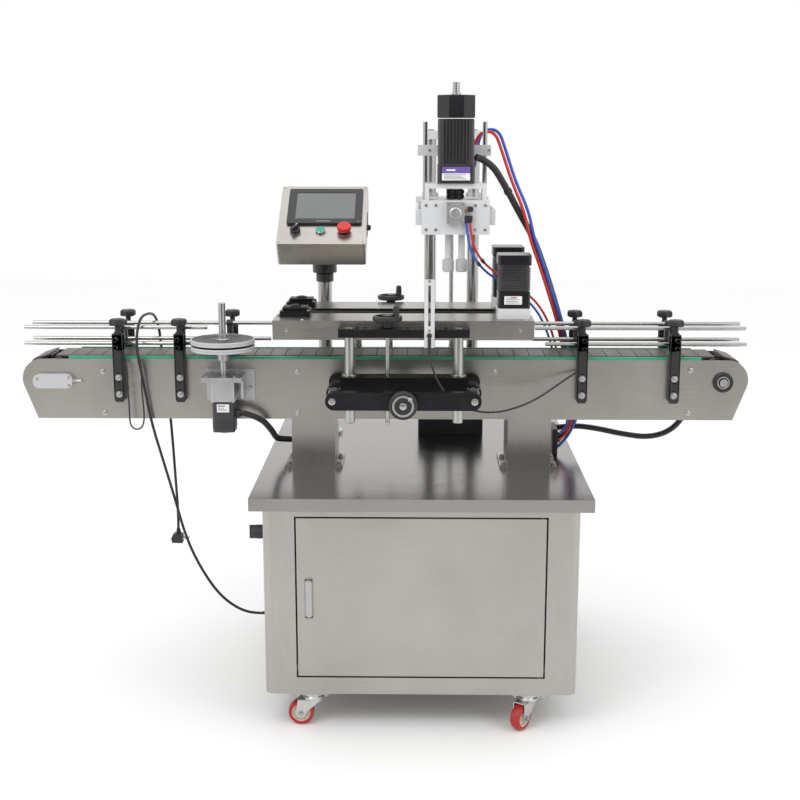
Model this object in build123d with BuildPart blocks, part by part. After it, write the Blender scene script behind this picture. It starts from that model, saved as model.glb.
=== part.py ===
"""Automatic capping machine: slat conveyor on a wheeled cabinet, belt clamps, capping head and operator panel.

Millimetres. +X along the conveyor, +Y to the back, +Z up. The origin is on the floor,
midway along the conveyor and midway through the depth of the table.
"""

from build123d import *
import os
from math import acos, atan2, cos, pi, radians, sin, sqrt, tan

os.makedirs("parts", exist_ok=True)

# Overall sizes
CONVEYOR_LENGTH = 1800.0
CONVEYOR_TOP = 868.0
CONVEYOR_Y = -64.0
CONVEYOR_WIDTH = 142.0
PLATE = 3.0
TABLE_X = 93.0
TABLE_LENGTH = 800.0
TABLE_DEPTH = 830.0
TABLE_TOP = 584.0
TABLE_LIP = 30.0
SHEET = 2.0

# Cabinet
CABINET_WIDTH = 745.0
CABINET_DEPTH = 786.0
CABINET_BOTTOM = 92.0
POST = 76.0
POST_WALL = 3.0
POST_ROUND = 20.0
BOTTOM_RAIL = 42.0
TOP_RAIL = 47.0
RAIL_DEPTH = 40.0
DOOR_GAP = 4.0
DOOR_THICKNESS = 16.0
DOOR_SHEET = 2.0
DOOR_PIN_RADIUS = 3.0
DOOR_PIN_LENGTH = 20.0
HINGE_INSET = 8.0
RUNNING = 0.05

# Castors
CASTER_INSET_X = 260.0
CASTER_INSET_Y = 358.0
WHEEL_RADIUS = 31.5
WHEEL_WIDTH = 24.0
WHEEL_TRAIL = 30.0
FORK_CLEARANCE = 2.5
FORK_SHEET = 3.0
SWIVEL_GAP = 0.3
CASTER_PLATE = 5.0
CASTER_HEADINGS = {"front_left": 180.0, "front_right": 233.0, "rear_left": 160.0, "rear_right": 200.0}

# Conveyor chain
SLAT_WIDTH = 101.6
SLAT_PITCH = 38.1
SPROCKET_X = 838.0
CHAIN_RADIUS = 62.0
CHAIN_THICKNESS = 14.0
SHAFT_RADIUS = 10.0
STRIP_LENGTH = 1566.0
STRIP_HEIGHT = 7.0
STRIP_WIDTH = 8.0
LEG_PITCH = 540.0
LEG_WIDTH = 108.0
LEG_TOP = 710.0
FOOT_WIDTH = 144.0
FOOT_THICKNESS = 6.0
TIE_SPOTS = [(-699.0, 829.0), (-699.0, 724.0), (-214.0, 830.0), (-214.0, 725.0),
             (272.5, 832.0), (273.0, 727.0), (757.0, 836.0), (755.0, 728.0)]
TIE_RADIUS = 9.0

# Guide rails
RAIL_RADIUS = 5.0
RAIL_UPPER = 936.0
RAIL_LOWER = 896.0
RAIL_FRONT_Y = CONVEYOR_Y - 41.0
RAIL_REAR_Y = CONVEYOR_Y + 36.0
CROSS_RADIUS = 5.0
BRACKET_WIDTH = 26.0
BRACKET_TOP = 926.0
BRACKET_BOTTOM = 756.0
BRACKET_FRONT_X = [-655.0, -503.0, 488.0, 714.0]
BRACKET_REAR_X = [-665.0, -395.0, 487.0, 717.0]
KNOB_RADIUS = 20.5

# Belt clamps
CLAMP_X = 51.0
CLAMP_OFFSET = 194.0
SLIDE_ROD_SPREAD = 164.0
SLIDE_ROD_RADIUS = 11.0
SLIDE_ROD_Z = 806.0
END_BAR_OFFSET = 302.5
END_BAR_THICKNESS = 23.0
SCREW_RADIUS = 7.0
GAP_SCREW_Z = 802.0
GAP_SCREW_REACH = 317.0
LIFT_ROD_SPREAD = 129.0
LIFT_ROD_RADIUS = 12.0
LIFT_SCREW_X = 12.0
LIFT_SCREW_RADIUS = 5.0
BLOCK_LENGTH = 302.0
BLOCK_DEPTH = 50.0
BLOCK_TOP = 844.0
BAR_BOTTOM = 938.0
COVER_BOTTOM = 926.0
COVER_TOP = 972.5
COVER_LEFT = -263.0
COVER_RIGHT = 361.0
COVER_INNER = 45.0
COVER_OUTER = 170.0
BELT_MOTOR_X = 314.0
BELT_MOTOR_SIZE = 80.0
BELT_MOTOR_OFFSET = 107.0
PULLEY_RADIUS = 38.0
PULLEY_LEFT_X = -215.0
PULLEY_OFFSET = 82.0
PULLEY_SHAFT = 7.0
BELT_THICKNESS = 4.0
BELT_LOW = 928.0
BELT_HIGH = 966.0

# Capping head
HEAD_X = 175.0
COLUMN_Y = 270.0
COLUMN_SPREAD = 58.5
COLUMN_RADIUS = 16.0
COLUMN_TOP = 1392.0
LEAD_SCREW_RADIUS = 6.0
GUIDE_SPREAD = 74.0
GUIDE_Y = -5.0
GUIDE_RADIUS = 6.0
GUIDE_TOP = 1436.0
ARM_SPREAD = 88.0
SPINDLE_Y = CONVEYOR_Y
HEAD_BLOCK_BOTTOM = 1166.0
HEAD_BLOCK_TOP = 1249.0
HEAD_BLOCK_WIDTH = 166.0
HEAD_FRONT = -106.0
HEAD_BACK = -22.0
SPINDLE_RADIUS = 8.0
CHUCK_RADIUS = 36.0
CHUCK_CLEARANCE = 0.5
FINGER_OFFSET = 16.5

# Spacing disc
DISC_X = -391.0
DISC_Y = -180.0
DISC_RADIUS = 78.0
DISC_SHAFT_RADIUS = 8.5

# Cable entries
ENTRY_X0 = 436.0
ENTRY_X1 = 450.0
ELBOW_X = -190.0

# Operator panel
POLE_X = -172.0
POLE_Y = 250.0
POLE_RADIUS = 19.0
POLE_TOP = 1035.0
PANEL_TILT = 34.0
PANEL_WIDTH = 235.0
PANEL_SLOPE = 250.0
PANEL_THICKNESS = 70.0
PANEL_CENTRE_Y = 213.0
PANEL_CENTRE_Z = 1194.0


def save(part, name):
    """Label a finished piece and write its file."""
    part.label = name
    export_step(part, f"parts/{name}.step")


def block(x0, x1, y0, y1, z0, z1, mode=Mode.ADD):
    """Rectangular block between two corners."""
    with Locations(((x0 + x1) / 2, (y0 + y1) / 2, (z0 + z1) / 2)):
        Box(x1 - x0, y1 - y0, z1 - z0, mode=mode)


def rod(axis, radius, start, length, mode=Mode.ADD):
    """Round bar from a start point, along the X, Y or Z axis."""
    turn = {"X": (0, 90, 0), "Y": (-90, 0, 0), "Z": (0, 0, 0)}[axis]
    with Locations(Location(start, turn)):
        Cylinder(radius, length, align=(Align.CENTER, Align.CENTER, Align.MIN), mode=mode)


def side_of(name):
    """Sign of the front (-1) or rear (+1) member of a mirrored pair."""
    return -1 if name == "front" else 1


def across(sign, near, far):
    """Lowest and highest Y of a slab that starts and ends so far from the conveyor's middle."""
    a = CONVEYOR_Y + sign * near
    b = CONVEYOR_Y + sign * far
    return min(a, b), max(a, b)


# ---------------------------------------------------------------- cabinet
CAB_X0 = TABLE_X - CABINET_WIDTH / 2
CAB_X1 = TABLE_X + CABINET_WIDTH / 2
CAB_Y0 = -CABINET_DEPTH / 2
CAB_Y1 = CABINET_DEPTH / 2
CAB_TOP = TABLE_TOP - SHEET
RAIL_LOW = CABINET_BOTTOM + BOTTOM_RAIL
RAIL_HIGH = CAB_TOP - TOP_RAIL
DOOR_X0 = CAB_X0 + POST + DOOR_GAP
DOOR_X1 = CAB_X1 - POST - DOOR_GAP
DOOR_Z0 = RAIL_LOW + DOOR_GAP
DOOR_Z1 = RAIL_HIGH - DOOR_GAP
HINGE_X = DOOR_X1 - HINGE_INSET
HINGE_Y = CAB_Y0 + HINGE_INSET
CASTER_TOP = CABINET_BOTTOM - CASTER_PLATE
CASTER_SPOTS = {}
for end, sx in (("left", -1), ("right", 1)):
    for face, sy in (("front", -1), ("rear", 1)):
        CASTER_SPOTS[f"{face}_{end}"] = (TABLE_X + sx * CASTER_INSET_X, sy * CASTER_INSET_Y)

with BuildPart() as cabinet_frame:
    for sx in (-1, 1):
        for sy in (-1, 1):
            post_x = TABLE_X + sx * (CABINET_WIDTH - POST) / 2
            post_y = sy * (CABINET_DEPTH - POST) / 2
            with BuildSketch(Plane.XY.offset(CABINET_BOTTOM)) as post_section:
                with Locations((post_x, post_y)):
                    Rectangle(POST, POST)
                outer = post_section.vertices().sort_by(lambda v: -(sx * v.X + sy * v.Y))[:1]
                fillet(outer, POST_ROUND)
                offset(amount=-POST_WALL, mode=Mode.SUBTRACT)
            extrude(amount=CAB_TOP - CABINET_BOTTOM)
    for z0, z1 in ((CABINET_BOTTOM, RAIL_LOW), (RAIL_HIGH, CAB_TOP)):
        for y0, y1 in ((CAB_Y0, CAB_Y0 + RAIL_DEPTH), (CAB_Y1 - RAIL_DEPTH, CAB_Y1)):
            block(CAB_X0 + POST, CAB_X1 - POST, y0, y1, z0, z1)
            block(CAB_X0 + POST, CAB_X1 - POST, y0 + POST_WALL, y1 - POST_WALL,
                  z0 + POST_WALL, z1 - POST_WALL, mode=Mode.SUBTRACT)
        for x0, x1 in ((CAB_X0, CAB_X0 + RAIL_DEPTH), (CAB_X1 - RAIL_DEPTH, CAB_X1)):
            block(x0, x1, CAB_Y0 + POST, CAB_Y1 - POST, z0, z1)
            block(x0 + POST_WALL, x1 - POST_WALL, CAB_Y0 + POST, CAB_Y1 - POST,
                  z0 + POST_WALL, z1 - POST_WALL, mode=Mode.SUBTRACT)
    for cx, cy in CASTER_SPOTS.values():
        block(cx - 40, cx + 40, cy - 30, cy + 30, CASTER_TOP, CABINET_BOTTOM)
    rod("Z", DOOR_PIN_RADIUS, (HINGE_X, HINGE_Y, RAIL_LOW), DOOR_GAP + DOOR_PIN_LENGTH)
    rod("Z", DOOR_PIN_RADIUS, (HINGE_X, HINGE_Y, RAIL_HIGH - DOOR_GAP - DOOR_PIN_LENGTH),
        DOOR_GAP + DOOR_PIN_LENGTH)
save(cabinet_frame.part, "cabinet_frame")

# Sheets that close the sides, back and floor of the cabinet.
with BuildPart() as cabinet_panels:
    for x0 in (CAB_X0 + 1, CAB_X1 - 1 - SHEET):
        block(x0, x0 + SHEET, CAB_Y0 + POST, CAB_Y1 - POST, RAIL_LOW, RAIL_HIGH)
    block(CAB_X0 + POST, CAB_X1 - POST, CAB_Y1 - 1 - SHEET, CAB_Y1 - 1, RAIL_LOW, RAIL_HIGH)
    block(CAB_X0 + RAIL_DEPTH, CAB_X1 - RAIL_DEPTH, CAB_Y0 + POST, CAB_Y1 - POST,
          RAIL_LOW - SHEET, RAIL_LOW)
save(cabinet_panels.part, "cabinet_panels")

with BuildPart() as table_top:
    block(TABLE_X - TABLE_LENGTH / 2, TABLE_X + TABLE_LENGTH / 2, -TABLE_DEPTH / 2, TABLE_DEPTH / 2,
          TABLE_TOP - TABLE_LIP, TABLE_TOP)
    block(TABLE_X - TABLE_LENGTH / 2 + SHEET, TABLE_X + TABLE_LENGTH / 2 - SHEET,
          -TABLE_DEPTH / 2 + SHEET, TABLE_DEPTH / 2 - SHEET,
          TABLE_TOP - TABLE_LIP, TABLE_TOP - SHEET, mode=Mode.SUBTRACT)
save(table_top.part, "table_top")

# Mounting plate with controller, drives, supply and terminals, standing inside the back.
PANEL_BACK = CAB_Y1 - 1 - SHEET
with BuildPart() as electrical_panel:
    block(TABLE_X - 250, TABLE_X + 250, PANEL_BACK - 23, PANEL_BACK - 20, 170, 500)
    for x in (-220, 220):
        for z in (190, 480):
            rod("Y", 6, (TABLE_X + x, PANEL_BACK - 20, z), 20)
    for x0, x1, z0, z1, depth in ((-220, -90, 370, 460, 80), (-70, 20, 370, 460, 95), (40, 200, 370, 460, 60),
                                  (-220, 30, 280, 310, 45), (60, 200, 270, 330, 70), (-220, 200, 200, 235, 50)):
        block(TABLE_X + x0, TABLE_X + x1, PANEL_BACK - 23 - depth, PANEL_BACK - 23, z0, z1)
save(electrical_panel.part, "electrical_panel")

with BuildPart() as door:
    block(DOOR_X0, DOOR_X1, CAB_Y0, CAB_Y0 + DOOR_THICKNESS, DOOR_Z0, DOOR_Z1)
    block(DOOR_X0 + DOOR_SHEET, DOOR_X1 - DOOR_SHEET, CAB_Y0 + DOOR_SHEET, CAB_Y0 + DOOR_THICKNESS,
          DOOR_Z0 + DOOR_SHEET, DOOR_Z1 - DOOR_SHEET, mode=Mode.SUBTRACT)
    for z0, z1 in ((DOOR_Z0, DOOR_Z0 + DOOR_PIN_LENGTH + 6), (DOOR_Z1 - DOOR_PIN_LENGTH - 6, DOOR_Z1)):
        block(DOOR_X1 - 2 * HINGE_INSET, DOOR_X1, CAB_Y0, CAB_Y0 + DOOR_THICKNESS, z0, z1)
    rod("Z", DOOR_PIN_RADIUS + RUNNING, (HINGE_X, HINGE_Y, DOOR_Z0), DOOR_PIN_LENGTH + 1, mode=Mode.SUBTRACT)
    rod("Z", DOOR_PIN_RADIUS + RUNNING, (HINGE_X, HINGE_Y, DOOR_Z1 - DOOR_PIN_LENGTH - 1),
        DOOR_PIN_LENGTH + 1, mode=Mode.SUBTRACT)
    HANDLE_X = DOOR_X0 + 28
    HANDLE_Z = 372.0
    HANDLE_SHAFT = 5.0
    block(HANDLE_X - 9, HANDLE_X + 9, CAB_Y0 - 1.5, CAB_Y0, HANDLE_Z - 87, HANDLE_Z + 10)
    rod("Y", HANDLE_SHAFT + RUNNING, (HANDLE_X, CAB_Y0 - 3, HANDLE_Z), 12, mode=Mode.SUBTRACT)
save(door.part, "door")

# Flush quarter-turn handle: lever outside, shaft through the sheet, latch blade inside.
with BuildPart() as door_handle:
    block(HANDLE_X - 7, HANDLE_X + 7, CAB_Y0 - 6.5, CAB_Y0 - 1.8, HANDLE_Z - 84, HANDLE_Z + 7)
    rod("Y", HANDLE_SHAFT, (HANDLE_X, CAB_Y0 - 6.5, HANDLE_Z), 14)
    block(HANDLE_X - 8, HANDLE_X + 8, CAB_Y0 + 4, CAB_Y0 + 7.5, HANDLE_Z - 30, HANDLE_Z + 8)
save(door_handle.part, "door_handle")

SWITCH_Y = -280.0
SWITCH_Z = 462.0
with BuildPart() as main_switch_knob:
    rod("X", 17.5, (CAB_X0 - 38, SWITCH_Y, SWITCH_Z), 32)
    block(CAB_X0 - 44, CAB_X0 - 37, SWITCH_Y - 3, SWITCH_Y + 3, SWITCH_Z - 17, SWITCH_Z + 17)
    rod("X", 5, (CAB_X0 - 6, SWITCH_Y, SWITCH_Z), 6.7)
save(main_switch_knob.part, "main_switch_knob")

# Castors: plate and pin on the cabinet side are part of each fork's swivel head.
AXLE_Z = WHEEL_RADIUS
for spot, (cx, cy) in CASTER_SPOTS.items():
    heading = CASTER_HEADINGS[spot]
    swivel = Plane(origin=(cx, cy, 0), x_dir=(cos(radians(heading)), sin(radians(heading)), 0), z_dir=(0, 0, 1))
    half = WHEEL_WIDTH / 2 + FORK_CLEARANCE
    with BuildPart(swivel) as caster_fork:
        with Locations((0, 0, 69)):
            Cylinder(24, CASTER_TOP - SWIVEL_GAP - 69, align=(Align.CENTER, Align.CENTER, Align.MIN))
        with Locations((8, 0, 67.5)):
            Box(58, 2 * (half + FORK_SHEET), FORK_SHEET)
        for side in (-1, 1):
            cheek_y = side * (half + FORK_SHEET / 2)
            with BuildSketch(Plane.XZ.offset(-cheek_y - FORK_SHEET / 2)) as cheek:
                with BuildLine():
                    Polyline((-20, 69), (37, 69), (WHEEL_TRAIL + 11, AXLE_Z), (WHEEL_TRAIL, AXLE_Z - 11),
                             (WHEEL_TRAIL - 11, AXLE_Z), close=True)
                make_face()
            extrude(cheek.sketch.moved(swivel.location), amount=FORK_SHEET)
        with Locations(Location((WHEEL_TRAIL, -half - FORK_SHEET - 3, AXLE_Z), (-90, 0, 0))):
            Cylinder(4, 2 * (half + FORK_SHEET) + 6, align=(Align.CENTER, Align.CENTER, Align.MIN))
    save(caster_fork.part, f"{spot}_caster_fork")
    with BuildPart(swivel) as caster_wheel:
        with Locations(Location((WHEEL_TRAIL, 0, AXLE_Z), (-90, 0, 0))):
            Cylinder(WHEEL_RADIUS, WHEEL_WIDTH)
            Cylinder(10, WHEEL_WIDTH + 2 * FORK_CLEARANCE - 1)
            Cylinder(4 + RUNNING, WHEEL_WIDTH + 2 * FORK_CLEARANCE, mode=Mode.SUBTRACT)
    save(caster_wheel.part, f"{spot}_caster_wheel")

# ---------------------------------------------------------------- conveyor
FRONT_PLATE_Y = CONVEYOR_Y - CONVEYOR_WIDTH / 2
REAR_PLATE_Y = CONVEYOR_Y + CONVEYOR_WIDTH / 2
PLATE_TOP = 861.0
END_ROUND = 51.0
END_Z = PLATE_TOP - END_ROUND
END_X = CONVEYOR_LENGTH / 2 - END_ROUND
CORNER_X = 866.0
SPROCKET_Z = CONVEYOR_TOP - CHAIN_RADIUS
LEG_X = [TABLE_X - LEG_PITCH / 2, TABLE_X + LEG_PITCH / 2]
SLIDE_ROD_X = [CLAMP_X - SLIDE_ROD_SPREAD, CLAMP_X + SLIDE_ROD_SPREAD]


# The slanted end edge leaves the round end at its tangent point.
CORNER_DX = CORNER_X - END_X
CORNER_DZ = LEG_TOP - END_Z
TANGENT = atan2(CORNER_DZ, CORNER_DX) + acos(END_ROUND / sqrt(CORNER_DX ** 2 + CORNER_DZ ** 2))


def end_spot(sign, turn):
    """Point on the rounded right (1) or left (-1) end of a side plate."""
    return sign * (END_X + END_ROUND * cos(turn)), END_Z + END_ROUND * sin(turn)


with BuildPart() as conveyor_frame:
    for plate_y in (FRONT_PLATE_Y + PLATE, REAR_PLATE_Y):
        with BuildSketch(Plane.XZ.offset(-plate_y)):
            with BuildLine():
                mid = (TANGENT + pi / 2) / 2
                Line((-CORNER_X, LEG_TOP), (CORNER_X, LEG_TOP))
                Line((END_X, PLATE_TOP), (-END_X, PLATE_TOP))
                for sign in (-1, 1):
                    Line((sign * CORNER_X, LEG_TOP), end_spot(sign, TANGENT))
                    ThreePointArc(end_spot(sign, TANGENT), end_spot(sign, mid), (sign * END_X, PLATE_TOP))
            make_face()
        extrude(amount=PLATE)
    for tie_x, tie_z in TIE_SPOTS:
        rod("Y", TIE_RADIUS, (tie_x, FRONT_PLATE_Y + PLATE, tie_z), CONVEYOR_WIDTH - 2 * PLATE)
    for end_x in (-SPROCKET_X, SPROCKET_X):
        rod("Y", SHAFT_RADIUS + 1, (end_x, FRONT_PLATE_Y, SPROCKET_Z), CONVEYOR_WIDTH, mode=Mode.SUBTRACT)
    for rod_x in SLIDE_ROD_X:
        rod("Y", SLIDE_ROD_RADIUS + 1, (rod_x, FRONT_PLATE_Y, SLIDE_ROD_Z), CONVEYOR_WIDTH, mode=Mode.SUBTRACT)
    rod("Y", SCREW_RADIUS + 1, (CLAMP_X, FRONT_PLATE_Y, GAP_SCREW_Z), CONVEYOR_WIDTH, mode=Mode.SUBTRACT)
save(conveyor_frame.part, "conveyor_frame")

# Box legs with a bolted foot plate.
with BuildPart() as conveyor_legs:
    for leg_x in LEG_X:
        block(leg_x - LEG_WIDTH / 2, leg_x + LEG_WIDTH / 2, FRONT_PLATE_Y, REAR_PLATE_Y,
              TABLE_TOP, LEG_TOP)
        block(leg_x - LEG_WIDTH / 2 + PLATE, leg_x + LEG_WIDTH / 2 - PLATE, FRONT_PLATE_Y + PLATE,
              REAR_PLATE_Y - PLATE, TABLE_TOP, LEG_TOP, mode=Mode.SUBTRACT)
        block(leg_x - FOOT_WIDTH / 2, leg_x + FOOT_WIDTH / 2, FRONT_PLATE_Y, REAR_PLATE_Y,
              TABLE_TOP, TABLE_TOP + FOOT_THICKNESS)
save(conveyor_legs.part, "conveyor_legs")

# Low-friction strips that edge the chain, standing on the side plates.
with BuildPart() as wear_strips:
    for strip_y in (FRONT_PLATE_Y, REAR_PLATE_Y - STRIP_WIDTH):
        block(-STRIP_LENGTH / 2, STRIP_LENGTH / 2, strip_y, strip_y + STRIP_WIDTH,
              PLATE_TOP, PLATE_TOP + STRIP_HEIGHT)
save(wear_strips.part, "wear_strips")

# Chain drawn as one loop of plates: top run, bottom run and the two turns.
with BuildPart() as slat_chain:
    with BuildSketch(Plane.XZ.offset(-(CONVEYOR_Y + SLAT_WIDTH / 2))):
        with Locations((0, SPROCKET_Z)):
            SlotCenterToCenter(2 * SPROCKET_X, 2 * CHAIN_RADIUS)
            SlotCenterToCenter(2 * SPROCKET_X, 2 * (CHAIN_RADIUS - CHAIN_THICKNESS), mode=Mode.SUBTRACT)
    extrude(amount=SLAT_WIDTH)
    step = SLAT_PITCH
    count = int(2 * SPROCKET_X / step)
    for index in range(count + 1):
        slit_x = -count * step / 2 + index * step
        block(slit_x - 0.8, slit_x + 0.8, CONVEYOR_Y - SLAT_WIDTH, CONVEYOR_Y + SLAT_WIDTH,
              CONVEYOR_TOP - 4, CONVEYOR_TOP + 1, mode=Mode.SUBTRACT)
save(slat_chain.part, "slat_chain")

# End shafts with three sprockets each, turning in the flange bearings.
for shaft_name, shaft_x in (("drive_shaft", SPROCKET_X), ("idler_shaft", -SPROCKET_X)):
    with BuildPart() as end_shaft:
        rod("Y", SHAFT_RADIUS, (shaft_x, FRONT_PLATE_Y - 12, SPROCKET_Z), CONVEYOR_WIDTH + 24)
        for wheel_y in (-36, 0, 36):
            rod("Y", CHAIN_RADIUS - CHAIN_THICKNESS - 0.4, (shaft_x, CONVEYOR_Y + wheel_y - 6, SPROCKET_Z), 12)
    save(end_shaft.part, shaft_name)

# Bolt heads, flange bearings, take-up plates and foot bolts.
FITTINGS_BOLT = 7.0
BEARING_RADIUS = 25.0
with BuildPart() as conveyor_fittings:
    for tie_x, tie_z in TIE_SPOTS:
        rod("Y", FITTINGS_BOLT, (tie_x, FRONT_PLATE_Y - 4, tie_z), 4)
        rod("Y", FITTINGS_BOLT, (tie_x, REAR_PLATE_Y, tie_z), 4)
    for end_x in (SPROCKET_X, -SPROCKET_X):
        for bearing_y in (FRONT_PLATE_Y - 8, REAR_PLATE_Y):
            rod("Y", BEARING_RADIUS, (end_x, bearing_y, SPROCKET_Z), 8)
            rod("Y", SHAFT_RADIUS + RUNNING, (end_x, bearing_y, SPROCKET_Z), 8, mode=Mode.SUBTRACT)
    for plate_y in (FRONT_PLATE_Y - 8, REAR_PLATE_Y):
        block(-SPROCKET_X + BEARING_RADIUS - 3, -773, plate_y, plate_y + 8, 790, 822)
        rod("X", 4, (-773, plate_y + 4, SPROCKET_Z), 24)
    for leg_x in LEG_X:
        for side in (-1, 1):
            for bolt_y in (-128, -52):
                rod("Z", 6.5, (leg_x + side * (LEG_WIDTH + FOOT_WIDTH) / 4, bolt_y, TABLE_TOP + FOOT_THICKNESS), 8)
    block(ENTRY_X0, ENTRY_X1, 6, 92, TABLE_TOP, TABLE_TOP + 68)
    block(ELBOW_X, ELBOW_X + 24, 46, 70, TABLE_TOP, TABLE_TOP + 38)
    rod("X", 8, (CAB_X0 + 1 - 13, -100, 182), 13)
save(conveyor_fittings.part, "conveyor_fittings")

# Gearmotor behind the discharge end: gearbox on the rear plate, motor hanging under it.
DRIVE_BOX = 90.0
with BuildPart() as conveyor_drive_motor:
    block(SPROCKET_X - DRIVE_BOX / 2, SPROCKET_X + DRIVE_BOX / 2, REAR_PLATE_Y + 12.3, REAR_PLATE_Y + 100,
          SPROCKET_Z - 45, SPROCKET_Z + 35)
    rod("X", 34, (SPROCKET_X - 185, REAR_PLATE_Y + 63, SPROCKET_Z - 8), 141)
    for foot_x in (-1, 1):
        for foot_z in (-32, 22):
            rod("Y", 5, (SPROCKET_X + foot_x * 34, REAR_PLATE_Y, SPROCKET_Z + foot_z), 13)
save(conveyor_drive_motor.part, "conveyor_drive_motor")

# ---------------------------------------------------------------- guide rails
# Rails clamp to cross rods, which slide through the brackets when the knobs are loosened.
BRACKET_DEPTH = 22.0
SIDES = {"front": (BRACKET_FRONT_X, -1, RAIL_FRONT_Y), "rear": (BRACKET_REAR_X, 1, RAIL_REAR_Y)}
with BuildPart() as rail_brackets:
    for bracket_spots, sign, rail_y in SIDES.values():
        plate_face = FRONT_PLATE_Y if sign < 0 else REAR_PLATE_Y
        for bracket_x in bracket_spots:
            near = plate_face
            far = plate_face + sign * BRACKET_DEPTH
            half = BRACKET_WIDTH / 2
            block(bracket_x - half, bracket_x + half, min(near, far), max(near, far),
                  BRACKET_BOTTOM, BRACKET_TOP)
            for rail_z in (RAIL_LOWER, RAIL_UPPER - 20):
                rod("Y", CROSS_RADIUS + 2 * RUNNING, (bracket_x, min(near, far) - 1, rail_z), BRACKET_DEPTH + 2,
                    mode=Mode.SUBTRACT)
            rod("Z", 5, (bracket_x, (near + far) / 2, BRACKET_TOP), 20)
            rod("Z", KNOB_RADIUS, (bracket_x, (near + far) / 2, BRACKET_TOP + 20), 18)
            for slot_z in (818, 776):
                rod("Y", 6.5, (bracket_x, min(near, far) - (5 if sign < 0 else -BRACKET_DEPTH), slot_z), 5)
save(rail_brackets.part, "rail_brackets")

RAIL_SPANS = {
    "front": ((-897.0, -440.0, RAIL_UPPER), (-899.0, -480.0, RAIL_LOWER),
              (374.0, 895.0, RAIL_UPPER), (400.0, 899.0, RAIL_LOWER)),
    "rear": ((-899.0, -277.0, RAIL_UPPER), (-899.0, -290.0, RAIL_LOWER),
             (380.0, 899.0, RAIL_UPPER), (374.0, 899.0, RAIL_LOWER)),
}
for face, (bracket_spots, sign, rail_y) in SIDES.items():
    plate_face = FRONT_PLATE_Y if sign < 0 else REAR_PLATE_Y
    with BuildPart() as guide_rails:
        for x0, x1, rail_z in RAIL_SPANS[face]:
            rod("X", RAIL_RADIUS, (x0, rail_y, rail_z), x1 - x0)
        for bracket_x in bracket_spots:
            far = plate_face + sign * (BRACKET_DEPTH + 26)
            for rail_z in (RAIL_LOWER, RAIL_UPPER - 20):
                rod("Y", CROSS_RADIUS, (bracket_x, min(rail_y, far), rail_z), abs(far - rail_y))
            block(bracket_x - 8, bracket_x + 8, rail_y - 7, rail_y + 7, RAIL_LOWER - 7, RAIL_UPPER + 7)
    save(guide_rails.part, f"guide_rails_{face}")

# ---------------------------------------------------------------- spacing disc
DISC_PLATE_Z = 819.0
DISC_MOTOR = 60.0
with BuildPart() as disc_bracket:
    block(-440, -341, -225, FRONT_PLATE_Y - PLATE, DISC_PLATE_Z, DISC_PLATE_Z + 12)
    block(-440, -320, FRONT_PLATE_Y - 5, FRONT_PLATE_Y, 758, 838)
    block(-346, -341, -200, FRONT_PLATE_Y - 5, 775, DISC_PLATE_Z)
    rod("Z", DISC_SHAFT_RADIUS + 3, (DISC_X, DISC_Y, DISC_PLATE_Z), 12, mode=Mode.SUBTRACT)
save(disc_bracket.part, "disc_bracket")

with BuildPart() as disc_motor:
    block(DISC_X - DISC_MOTOR / 2, DISC_X + DISC_MOTOR / 2, DISC_Y - DISC_MOTOR / 2, DISC_Y + DISC_MOTOR / 2,
          768, DISC_PLATE_Z)
    block(DISC_X - 27, DISC_X + 27, DISC_Y - 27, DISC_Y + 27, 688, 768)
    rod("Z", DISC_SHAFT_RADIUS + 0.5, (DISC_X, DISC_Y, 800), 20, mode=Mode.SUBTRACT)
    rod("X", 11, (DISC_X + 27, DISC_Y, 735), 14)
save(disc_motor.part, "disc_motor")

with BuildPart() as spacing_disc:
    rod("Z", DISC_SHAFT_RADIUS, (DISC_X, DISC_Y, 801), 1008 - 801)
    rod("Z", 15, (DISC_X, DISC_Y, 866), 27)
    for disc_z in (893, 909):
        rod("Z", DISC_RADIUS, (DISC_X, DISC_Y, disc_z), 11)
    rod("Z", 30, (DISC_X, DISC_Y, 893), 27)
    rod("Z", 13, (DISC_X, DISC_Y, 920), 12)
save(spacing_disc.part, "spacing_disc")

# ---------------------------------------------------------------- belt clamps
BLOCK_NEAR = CLAMP_OFFSET - BLOCK_DEPTH / 2
BLOCK_FAR = CLAMP_OFFSET + BLOCK_DEPTH / 2
LIFT_ROD_X = [CLAMP_X - LIFT_ROD_SPREAD, CLAMP_X + LIFT_ROD_SPREAD]
BAR_TOP = BAR_BOTTOM + 20
END_BAR_NEAR = END_BAR_OFFSET - END_BAR_THICKNESS / 2
END_BAR_FAR = END_BAR_OFFSET + END_BAR_THICKNESS / 2

with BuildPart() as slide_rods:
    for rod_x in SLIDE_ROD_X:
        rod("Y", SLIDE_ROD_RADIUS, (rod_x, CONVEYOR_Y - END_BAR_FAR, SLIDE_ROD_Z), 2 * END_BAR_FAR)
        for flange_y in (FRONT_PLATE_Y - 10, REAR_PLATE_Y):
            rod("Y", 23, (rod_x, flange_y, SLIDE_ROD_Z), 10)
    for sign in (-1, 1):
        y0, y1 = across(sign, END_BAR_NEAR, END_BAR_FAR)
        with BuildSketch(Plane.XZ.offset(-y1)):
            with Locations((CLAMP_X, SLIDE_ROD_Z)):
                SlotOverall(360, 42)
        extrude(amount=y1 - y0)
    rod("Y", SCREW_RADIUS + RUNNING, (CLAMP_X, CONVEYOR_Y - END_BAR_FAR - 1, GAP_SCREW_Z),
        2 * END_BAR_FAR + 2, mode=Mode.SUBTRACT)
save(slide_rods.part, "slide_rods")

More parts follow.
